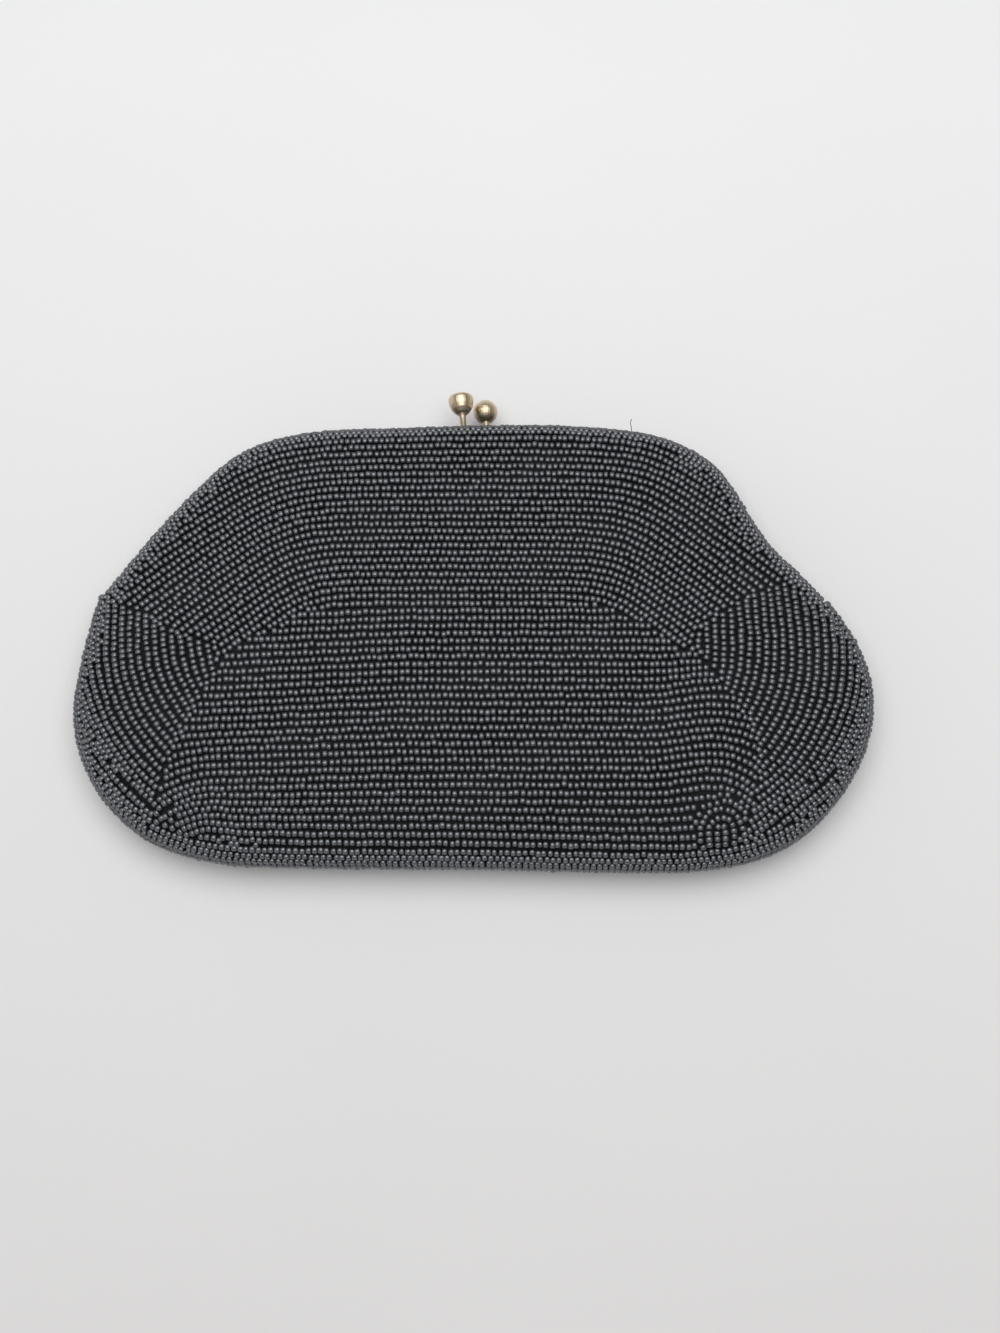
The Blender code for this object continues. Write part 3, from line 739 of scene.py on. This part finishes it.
def beadTemplate(segments):
    # A seed bead along X: a short barrel with a dimple at the thread hole.
    rings = beadwork["barrel"]
    points = [(-beadwork["dimple"], 0.0, 0.0)]
    for x, radius in rings:
        for k in range(segments):
            angle = 2 * math.pi * k / segments
            points.append((x, radius * math.cos(angle), radius * math.sin(angle)))
    points.append((beadwork["dimple"], 0.0, 0.0))
    last = len(points) - 1
    faces = []
    cells = []
    for k in range(segments):
        after = (k + 1) % segments
        low, high = k / segments, (k + 1) / segments
        faces.append((0, 1 + after, 1 + k))
        cells.append(((0.0, low), (0.15, high), (0.15, low)))
        for ring in range(len(rings) - 1):
            a = 1 + ring * segments + k
            b = 1 + ring * segments + after
            start, end = 0.15 + 0.7 * ring / 3, 0.15 + 0.7 * (ring + 1) / 3
            faces.append((a, b, b + segments))
            cells.append(((start, low), (start, high), (end, high)))
            faces.append((a, b + segments, a + segments))
            cells.append(((start, low), (end, high), (end, low)))
        base = 1 + (len(rings) - 1) * segments
        faces.append((last, base + k, base + after))
        cells.append(((1.0, low), (0.85, low), (0.85, high)))
    return np.array(points), np.array(faces), np.array(cells)


templatePoints, templateFaces, templateCells = beadTemplate(beadwork["segments"])


def beadPiece(name, beads):
    # One mesh that holds many beads, each with its own tone and its own place in the map.
    count = len(beads)
    centre, thread, normal = (np.array([bead[k] for bead in beads]) for k in range(3))
    centre = centre + random.normal(0, beadwork["wander"], (count, 3))
    thread = unit(thread + random.normal(0, math.radians(beadwork["turnDegrees"]), (count, 3)))
    normal = squareTo(thread, normal)
    across = np.cross(normal, thread)
    roll = random.uniform(0, 2 * math.pi, count)
    first = across * np.cos(roll)[:, None] + normal * np.sin(roll)[:, None]
    second = normal * np.cos(roll)[:, None] - across * np.sin(roll)[:, None]
    long = beadwork["length"] * (1 + random.normal(0, beadwork["sizeSpread"], count))
    wide = beadwork["radius"] * (1 + random.normal(0, beadwork["sizeSpread"], count))
    local = templatePoints
    points = centre[:, None] + thread[:, None] * (local[None, :, :1] * long[:, None, None])
    points = points + first[:, None] * (local[None, :, 1:2] * wide[:, None, None])
    points = points + second[:, None] * (local[None, :, 2:3] * wide[:, None, None])
    faces = templateFaces[None] + (np.arange(count) * len(local))[:, None, None]
    mesh = bpy.data.meshes.new(name)
    mesh.from_pydata(points.reshape(-1, 3), [], faces.reshape(-1, 3))
    tone = mesh.attributes.new("beadTone", "FLOAT", "POINT")
    tone.data.foreach_set("value", np.repeat(random.uniform(0, 1, count), len(local)).astype(np.float32))
    columns = math.ceil(math.sqrt(count))
    corner = np.stack([np.arange(count) % columns, np.arange(count) // columns], axis=1)
    spread = corner[:, None, None] + 0.12 + 0.76 * templateCells[None]
    uvMap = mesh.uv_layers.new(name="OFBake")
    uvMap.data.foreach_set("uv", (spread / columns).reshape(-1).astype(np.float32))
    mesh.shade_smooth()
    mesh.update()
    piece = bpy.data.objects.new(name, mesh)
    scene.collection.objects.link(piece)
    return piece


frontLaid = layBeads(1)
rearLaid = layBeads(-1)
print("beads laid", len(frontLaid), "front and", len(rearLaid), "rear")

pieceZones = {
    "Arch": ("arch",),
    "Level": ("level",),
    "Sides": ("leftSide", "rightSide", "leftSwirl", "rightSwirl"),
    "Rim": ("rim",),
}
beadPieces = {1: [], -1: []}
for side, laid, word in ((1, frontLaid, "front"), (-1, rearLaid, "rear")):
    for part, zones in pieceZones.items():
        chosen = sorted((bead for bead in laid if bead[3] in zones), key=lambda bead: bead[0][0])
        shares = math.ceil(len(chosen) / beadwork["mostInPiece"])
        for k, some in enumerate(np.array_split(np.arange(len(chosen)), shares)):
            label = word + "Beads" + part + (str(k + 1) if shares > 1 else "")
            piece = beadPiece(label, [chosen[i] for i in some])
            beadPieces[side].append(piece)
            print(label, len(some))

# Materials


def newGroup(name, inputs, outputs):
    group = bpy.data.node_groups.new(name, "ShaderNodeTree")
    for title, kind, value in inputs:
        socket = group.interface.new_socket(name=title, in_out="INPUT", socket_type=kind)
        socket.default_value = value
    for title, kind in outputs:
        group.interface.new_socket(name=title, in_out="OUTPUT", socket_type=kind)
    start = group.nodes.new("NodeGroupInput")
    end = group.nodes.new("NodeGroupOutput")
    return group, start, end


def addNode(tree, kind, **settings):
    node = tree.nodes.new(kind)
    for key, value in settings.items():
        setattr(node, key, value)
    return node


def feed(tree, node, values):
    # Links or plain values for a node's inputs, by their name or number.
    for title, value in values.items():
        if isinstance(value, bpy.types.NodeSocket):
            tree.links.new(value, node.inputs[title])
        else:
            node.inputs[title].default_value = value
    return node


def mixColour(tree, factor, low, high, blend="MIX"):
    node = addNode(tree, "ShaderNodeMix", data_type="RGBA", blend_type=blend)
    return feed(tree, node, {0: factor, 6: low, 7: high}).outputs[2]


def ranged(tree, *values):
    # A value taken from one range to another: value, from low, from high, to low, to high.
    return feed(tree, addNode(tree, "ShaderNodeMapRange"), dict(enumerate(values))).outputs[0]


def maths(tree, operation, *values):
    node = addNode(tree, "ShaderNodeMath", operation=operation)
    return feed(tree, node, dict(enumerate(values))).outputs[0]


def placeAlong(tree, source="Object"):
    # X, Y and Z of the place on a piece, or of the way into the world.
    place = addNode(tree, "ShaderNodeTexCoord")
    return feed(tree, addNode(tree, "ShaderNodeSeparateXYZ"), {0: place.outputs[source]}).outputs


def buildUnevenness():
    # Colour and gloss that differ softly over a surface, from large and small noise.
    group, start, end = newGroup(
        "unevenSurface",
        [
            ("Scale", "NodeSocketFloat", 100.0),
            ("Colour One", "NodeSocketColor", (0.5, 0.5, 0.5, 1)),
            ("Colour Two", "NodeSocketColor", (0.6, 0.6, 0.6, 1)),
            ("Gloss Low", "NodeSocketFloat", 0.2),
            ("Gloss High", "NodeSocketFloat", 0.4),
        ],
        [("Colour", "NodeSocketColor"), ("Roughness", "NodeSocketFloat"), ("Height", "NodeSocketFloat")],
    )
    given = start.outputs
    place = addNode(group, "ShaderNodeTexCoord").outputs["Object"]
    large = addNode(group, "ShaderNodeTexNoise")
    feed(group, large, {"Vector": place, "Scale": given["Scale"], "Detail": 4.0})
    small = addNode(group, "ShaderNodeTexNoise")
    finer = maths(group, "MULTIPLY", given["Scale"], 7.0)
    feed(group, small, {"Vector": place, "Scale": finer, "Detail": 2.0})
    factor = ranged(group, large.outputs["Fac"], 0.3, 0.7, 0.0, 1.0)
    colour = mixColour(group, factor, given["Colour One"], given["Colour Two"])
    rough = ranged(group, small.outputs["Fac"], 0.3, 0.7, given["Gloss Low"], given["Gloss High"])
    feed(group, end, {"Colour": colour, "Roughness": rough, "Height": small.outputs["Fac"]})
    return group


def buildWeave():
    # Threads that cross at right angles: a height and a mask of the thread crowns.
    group, start, end = newGroup(
        "weave",
        [("Threads Per Metre", "NodeSocketFloat", 2500.0), ("Warp Share", "NodeSocketFloat", 0.5)],
        [("Height", "NodeSocketFloat"), ("Crowns", "NodeSocketFloat")],
    )
    apart = placeAlong(group)
    waves = []
    for axis in ("X", "Y"):
        turns = maths(group, "MULTIPLY", apart[axis], start.outputs["Threads Per Metre"])
        wave = maths(group, "SINE", maths(group, "MULTIPLY", turns, 2 * math.pi))
        waves.append(ranged(group, wave, -1.0, 1.0, 0.0, 1.0))
    blend = addNode(group, "ShaderNodeMix", data_type="FLOAT")
    feed(group, blend, {0: start.outputs["Warp Share"], 2: waves[0], 3: waves[1]})
    crowns = maths(group, "MULTIPLY", *waves)
    feed(group, end, {"Height": blend.outputs[0], "Crowns": crowns})
    return group


unevenSurface = buildUnevenness()
weave = buildWeave()


def newMaterial(name):
    material = bpy.data.materials.new(name)
    material.use_nodes = True
    tree = material.node_tree
    shader = tree.nodes["Principled BSDF"]
    return material, tree, shader


def placeUneven(tree, scale, one, two, smooth, worn):
    node = addNode(tree, "ShaderNodeGroup", node_tree=unevenSurface)
    values = {"Scale": scale, "Colour One": one, "Colour Two": two, "Gloss Low": smooth, "Gloss High": worn}
    return feed(tree, node, values).outputs


def placeWeave(tree, threads, warp):
    node = addNode(tree, "ShaderNodeGroup", node_tree=weave)
    return feed(tree, node, {"Threads Per Metre": threads, "Warp Share": warp}).outputs


def addBump(tree, shader, height, strength, distance):
    bump = addNode(tree, "ShaderNodeBump")
    feed(tree, bump, {"Height": height, "Strength": strength, "Distance": distance})
    feed(tree, shader, {"Normal": bump.outputs["Normal"]})


jetLook = {
    "deepest": (0.0075, 0.0076, 0.0086, 1),
    "palest": (0.0170, 0.0168, 0.0182, 1),
    "smooth": 0.30,
    "worn": 0.42,
    "scale": 620.0,
    "refraction": 2.40,
    "tint": (0.90, 0.94, 1.0, 1),
}


def jetGlass():
    # Black glass seed beads, each a little different.
    look = jetLook
    material, tree, shader = newMaterial("jetGlass")
    tone = addNode(tree, "ShaderNodeAttribute", attribute_name="beadTone").outputs["Fac"]
    uneven = placeUneven(tree, look["scale"], look["deepest"], look["palest"], look["smooth"], look["worn"])
    colour = mixColour(tree, ranged(tree, tone, 0.55, 1.0, 0.0, 0.8), uneven["Colour"], look["palest"])
    rough = maths(tree, "ADD", uneven["Roughness"], ranged(tree, tone, 0.0, 1.0, -0.05, 0.07))
    feed(tree, shader, {"Base Color": colour, "Roughness": rough})
    shader.inputs["IOR"].default_value = look["refraction"]
    shader.inputs["Specular Tint"].default_value = look["tint"]
    addBump(tree, shader, uneven["Height"], 0.25, 0.00004)
    return material


clothLook = {
    "threads": 2400.0,  # in a metre
    "deep": (0.010, 0.010, 0.011, 1),
    "crown": (0.020, 0.020, 0.022, 1),
    "reflection": 0.1,
}


def groundCloth():
    # Black cloth that the beads are sewn to.
    look = clothLook
    material, tree, shader = newMaterial("groundCloth")
    threads = placeWeave(tree, look["threads"], 0.5)
    colour = mixColour(tree, threads["Crowns"], look["deep"], look["crown"])
    rough = ranged(tree, threads["Crowns"], 0.0, 1.0, 0.95, 0.8)
    feed(tree, shader, {"Base Color": colour, "Roughness": rough})
    shader.inputs["Specular IOR Level"].default_value = look["reflection"]
    addBump(tree, shader, threads["Height"], 0.5, 0.0001)
    return material


satinLook = {
    "threads": 4200.0,
    "warp": 0.8,
    "scale": 45.0,
    "deep": (0.011, 0.010, 0.012, 1),
    "pale": (0.021, 0.019, 0.022, 1),
    "crown": (0.030, 0.028, 0.031, 1),
    "smooth": 0.34,
    "worn": 0.48,
    "sheen": 0.25,
}


def satinLining():
    # Black satin: fine threads, soft sheen along the folds.
    look = satinLook
    material, tree, shader = newMaterial("satinLining")
    threads = placeWeave(tree, look["threads"], look["warp"])
    uneven = placeUneven(tree, look["scale"], look["deep"], look["pale"], look["smooth"], look["worn"])
    colour = mixColour(tree, threads["Crowns"], uneven["Colour"], look["crown"])
    feed(tree, shader, {"Base Color": colour, "Roughness": uneven["Roughness"]})
    shader.inputs["Sheen Weight"].default_value = look["sheen"]
    addBump(tree, shader, threads["Height"], 0.25, 0.00005)
    return material


metalLooks = {
    "barGilt": {
        "pale": (0.72, 0.58, 0.36, 1), "deep": (0.60, 0.46, 0.27, 1),
        "smooth": 0.24, "worn": 0.40, "scale": 180.0,
    },
    "plainSteel": {
        "pale": (0.52, 0.51, 0.49, 1), "deep": (0.43, 0.42, 0.40, 1),
        "smooth": 0.26, "worn": 0.42, "scale": 240.0,
    },
    "champagneGilt": {
        "pale": (0.74, 0.61, 0.43, 1), "deep": (0.62, 0.49, 0.33, 1),
        "smooth": 0.25, "worn": 0.37, "scale": 260.0,
        # Colour towards the bag: painted shade and a painted reflection of the dark bag, with some soiling
        # on the neck.
        "shadeAndGrime": (0.26, 0.21, 0.16, 1),
        "shadeAndGrimeTop": 0.0705,  # along Y, in the upper half of the crown
        "shadeAndGrimeFoot": 0.0625,
    },
}


def handledMetal(name):
    # Metal with a softly uneven polish. On the knobs the colour is darker and duller towards the bag:
    # partly soiling, partly painted shade and a painted reflection of the dark bag.
    look = metalLooks[name]
    material, tree, shader = newMaterial(name)
    uneven = placeUneven(tree, look["scale"], look["pale"], look["deep"], look["smooth"], look["worn"])
    colour = uneven["Colour"]
    rough = uneven["Roughness"]
    if "shadeAndGrime" in look:
        # Darker along Y towards the bag: painted shade and a painted reflection of the bag, partly soiling.
        shadeAndDirt = ranged(tree, placeAlong(tree)["Y"], look["shadeAndGrimeFoot"], look["shadeAndGrimeTop"], 0.85, 0.0)
        colour = mixColour(tree, shadeAndDirt, colour, look["shadeAndGrime"])
        rough = maths(tree, "MULTIPLY_ADD", shadeAndDirt, 0.2, rough)
    feed(tree, shader, {"Base Color": colour, "Roughness": rough, "Metallic": 1.0})
    addBump(tree, shader, uneven["Height"], 0.12, 0.00003)
    return material


jet = jetGlass()
ground = groundCloth()
satin = satinLining()
champagne = handledMetal("champagneGilt")
brassBar = handledMetal("barGilt")
steel = handledMetal("plainSteel")
print("materials made")

# Bead pieces get their material; the front ones keep their place, the rear ones go with the pouch


def dress(piece, material):
    piece.data.materials.clear()
    piece.data.materials.append(material)


def ridesWithFront(piece):
    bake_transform(piece)


for piece in beadPieces[1] + beadPieces[-1]:
    dress(piece, jet)
for piece in beadPieces[1]:
    ridesWithFront(piece)
for piece in beadPieces[-1]:
    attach(piece, "pouch")
print("beads placed")

# The cloth shells and their linings, lofted from the rim to a spine

shells = {
    "stations": 300,
    "merge": 0.000002,
    "leastHeight": 0.0002,  # above or below the middle, where the two sides meet
    "frameSpine": 0.355,
    "spineY": -0.085,
    "nearRim": [0.0, 0.0003, 0.0008, 0.0016, 0.0028, 0.0044, 0.0066, 0.0095],
    "farShares": 14,
    "clothBelow": 0.00165,
    "clothThick": 0.00035,
    "liningBelow": 0.00240,
    "liningThick": 0.00040,
    "liningFrameStart": 0.010695,  # the lining begins inside the frame bows
    "frameStartRun": 0.004,
    "puckers": 0.0007,
    "puckerWaves": (23, 9),  # round the bag
}


def shellPiece(name, side, below, thick, frameStart=0.0, puckers=0.0):
    # A cloth shell under the skin of one side, with the thickness of its cloth.
    rim = evenly(np.vstack([wholeRim, wholeRim[:1]]), shells["stations"] + 1)[:-1]
    halfSpine = shells["frameSpine"] * bagForm["width"]
    spineY = shells["spineY"] * bagForm["bodyHeight"] + axisY
    spine = np.column_stack([np.clip(rim[:, 0], -halfSpine, halfSpine), np.full(len(rim), spineY)])
    reach = np.linalg.norm(spine - rim, axis=1)
    toward = (spine - rim) / reach[:, None]
    lastNear = shells["nearRim"][-1]
    start = frameStart * np.clip((rim[:, 1] - axisY) / shells["frameStartRun"], 0, 1)
    steps = [np.maximum(np.full(len(rim), distance), start) for distance in shells["nearRim"]]
    for share in np.linspace(0, 1, shells["farShares"] + 1)[1:]:
        steps.append(np.maximum(lastNear, start) + (reach - np.maximum(lastNear, start)) * share)
    form = bmesh.new()
    rings = []
    for number, distance in enumerate(steps):
        plan = rim + toward * distance[:, None]
        front, rear, away = bagSkin(plan)
        rise = front if side > 0 else rear
        if number == 0:
            rise = np.where(distance > 0, rise, 0.0)
        if puckers:
            around = np.arctan2(plan[:, 1] - axisY, plan[:, 0])
            many, few = shells["puckerWaves"]
            fold = np.sin(around * many + 5 * away / 0.02) * np.sin(around * few + 1.0)
            rise = rise - puckers * (0.6 + fold) * np.clip(away / 0.01, 0, 1)
        rings.append([form.verts.new((x, y, middle + side * h)) for (x, y), h in zip(plan, rise)])
    count = len(rim)
    for outer, inner in zip(rings, rings[1:]):
        for k in range(count):
            after = (k + 1) % count
            form.faces.new((outer[k], outer[after], inner[after], inner[k]))
    bmesh.ops.remove_doubles(form, verts=form.verts, dist=shells["merge"])
    bmesh.ops.dissolve_degenerate(form, edges=form.edges, dist=shells["merge"])
    bmesh.ops.recalc_face_normals(form, faces=form.faces)
    form.normal_update()
    top = max(form.verts, key=lambda v: side * v.co.z)
    if top.normal.z * side < 0:
        bmesh.ops.reverse_faces(form, faces=form.faces)
        form.normal_update()
    moves = [vert.normal * below for vert in form.verts]
    for vert, move in zip(form.verts, moves):
        vert.co -= move
        if side * (vert.co.z - middle) < shells["leastHeight"]:
            vert.co.z = middle + side * shells["leastHeight"]
    mesh = bpy.data.meshes.new(name)
    form.to_mesh(mesh)
    form.free()
    piece = bpy.data.objects.new(name, mesh)
    scene.collection.objects.link(piece)
    thicken = piece.modifiers.new("thickness", "SOLIDIFY")
    thicken.thickness = thick
    thicken.offset = -1.0
    bpy.context.view_layer.update()
    graph = bpy.context.evaluated_depsgraph_get()
    solid = bpy.data.meshes.new_from_object(piece.evaluated_get(graph))
    piece.modifiers.clear()
    piece.data = solid
    solid.shade_smooth()
    return piece


clothForm = (shells["clothBelow"], shells["clothThick"])
liningForm = (shells["liningBelow"], shells["liningThick"], shells["liningFrameStart"], shells["puckers"])
frontCloth = shellPiece("frontCloth", 1, *clothForm)
rearCloth = shellPiece("rearCloth", -1, *clothForm)
frontLining = shellPiece("frontLining", 1, *liningForm)
rearLining = shellPiece("rearLining", -1, *liningForm)

# Each cloth gets its material; the front ones keep their place, the rear ones go with the pouch, and the
# model's cloth nodes are hidden

for piece, finish, slotName in (
    (frontCloth, ground, "beads"),
    (rearCloth, ground, "beads"),
    (frontLining, satin, "lining"),
    (rearLining, satin, "lining"),
):
    dress(piece, finish)
ridesWithFront(frontCloth)
ridesWithFront(frontLining)
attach(rearCloth, "pouch")
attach(rearLining, "pouch")
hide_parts("front_beaded_panel_upper", "front_beaded_flex", "front_beaded_panel_lower")
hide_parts("rear_beaded_panel")
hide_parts("front_lining_upper", "front_lining_flex", "front_lining_lower")
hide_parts("rear_lining")
print("cloth and linings made")

# Metal parts keep the shapes of the model

finishes = {
    "front_frame_bow": brassBar,
    "rear_frame_bow": brassBar,
    "front_clasp_knob": champagne,
    "rear_clasp_knob": champagne,
}
for name, node in nodes.items():
    finish = finishes.get(name, steel if "plate" in name or "rivet" in name else None)
    if finish is not None:
        dress(node, finish)
        node.data.shade_smooth()

# A loose thread end at the top edge

threadEnd = {
    "route": [(631.5, 431), (631, 427.5), (630.2, 424), (631.2, 421.5)],
    "radius": 0.00010,
    "above": 0.0040,  # from the middle of the bag
    "rises": [0.0, 0.0005, 0.0011, 0.0016],
}


def tubePiece(name, route, radius):
    curve = bpy.data.curves.new(name, "CURVE")
    curve.dimensions = "3D"
    curve.bevel_depth = radius
    curve.bevel_resolution = 1
    curve.use_fill_caps = True
    spline = curve.splines.new("POLY")
    spline.points.add(len(route) - 1)
    for point, place in zip(spline.points, route):
        point.co = (*place, 1.0)
    holder = bpy.data.objects.new(name + "Curve", curve)
    scene.collection.objects.link(holder)
    bpy.context.view_layer.update()
    graph = bpy.context.evaluated_depsgraph_get()
    mesh = bpy.data.meshes.new_from_object(holder.evaluated_get(graph))
    bpy.data.objects.remove(holder, do_unlink=True)
    piece = bpy.data.objects.new(name, mesh)
    scene.collection.objects.link(piece)
    return piece


threadLevel = middle + threadEnd["above"]
threadPlan = throughPixel(np.array(threadEnd["route"], float), threadLevel)
threadRoute = smoothCurve(np.column_stack([threadPlan, threadLevel + np.array(threadEnd["rises"])]), 6)
looseThread = tubePiece("looseThread", threadRoute, threadEnd["radius"])
dress(looseThread, ground)
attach(looseThread, "front_frame")

# Table, light and background

studio = {
    "tableLevel": -0.0002,
    "tableSize": 3.0,
    # The table colour runs from near to far: a painted fall of light, darker and warmer near the camera.
    "tableNearShaded": (0.700, 0.688, 0.680, 1),
    "tableFarLit": (0.845, 0.843, 0.842, 1),
    "tableReach": 0.20,
    "tableRefraction": 1.25,
    "keyPlace": (0.0, 0.06, 1.08),
    "keySize": 1.35,
    "keyPower": 11.6,
    "lowColour": (1.0, 0.972, 0.935, 1),
    "highColour": (0.95, 0.97, 1.0, 1),
    "horizon": 0.85,
    "above": 0.34,
    "leftLift": 1.13,
    "rightLift": 0.62,
    "nearLift": 0.94,
    "farLift": 1.10,
}

tableMesh = bpy.data.meshes.new("table")
half = studio["tableSize"] / 2
corners = [(-half, -half, 0), (half, -half, 0), (half, half, 0), (-half, half, 0)]
tableMesh.from_pydata(corners, [], [(0, 1, 2, 3)])
table = bpy.data.objects.new("table", tableMesh)
table.location.z = studio["tableLevel"]
scene.collection.objects.link(table)
tableMaterial, tree, shader = newMaterial("paleTable")
mottle = placeUneven(tree, 9.0, (0.985, 0.985, 0.985, 1), (1.0, 1.0, 1.0, 1), 0.85, 0.95)
# Painted shade and light: the table colour goes darker and warmer towards the camera, lighter away from it.
away = ranged(tree, placeAlong(tree)["Y"], -studio["tableReach"], studio["tableReach"], 0.0, 1.0)
paint = mixColour(tree, away, studio["tableNearShaded"], studio["tableFarLit"])
speckled = mixColour(tree, 1.0, paint, mottle["Colour"], "MULTIPLY")
feed(tree, shader, {"Base Color": speckled, "Roughness": mottle["Roughness"]})
shader.inputs["IOR"].default_value = studio["tableRefraction"]
dress(table, tableMaterial)

keyData = bpy.data.lights.new("keyLight", "AREA")
keyData.shape = "DISK"
keyData.size = studio["keySize"]
keyData.energy = studio["keyPower"]
keyLight = bpy.data.objects.new("keyLight", keyData)
keyLight.location = studio["keyPlace"]
keyLight.rotation_euler = Vector(studio["keyPlace"]).to_track_quat("Z", "Y").to_euler()
scene.collection.objects.link(keyLight)

world = bpy.data.worlds.new("studio")
world.use_nodes = True
tree = world.node_tree
apart = placeAlong(tree, "Generated")
strength = ranged(tree, apart["Z"], 0.08, 0.45, studio["horizon"], studio["above"])
for axis, low, high in (("X", "leftLift", "rightLift"), ("Y", "nearLift", "farLift")):
    lift = ranged(tree, apart[axis], -1.0, 1.0, studio[low], studio[high])
    strength = maths(tree, "MULTIPLY", strength, lift)
height = ranged(tree, apart["Z"], 0.05, 0.5, 0.0, 1.0)
skyColour = mixColour(tree, height, studio["lowColour"], studio["highColour"])
feed(tree, tree.nodes["Background"], {"Strength": strength, "Color": skyColour})
scene.world = world
scene.view_settings.view_transform = "Standard"

print("scene finished")
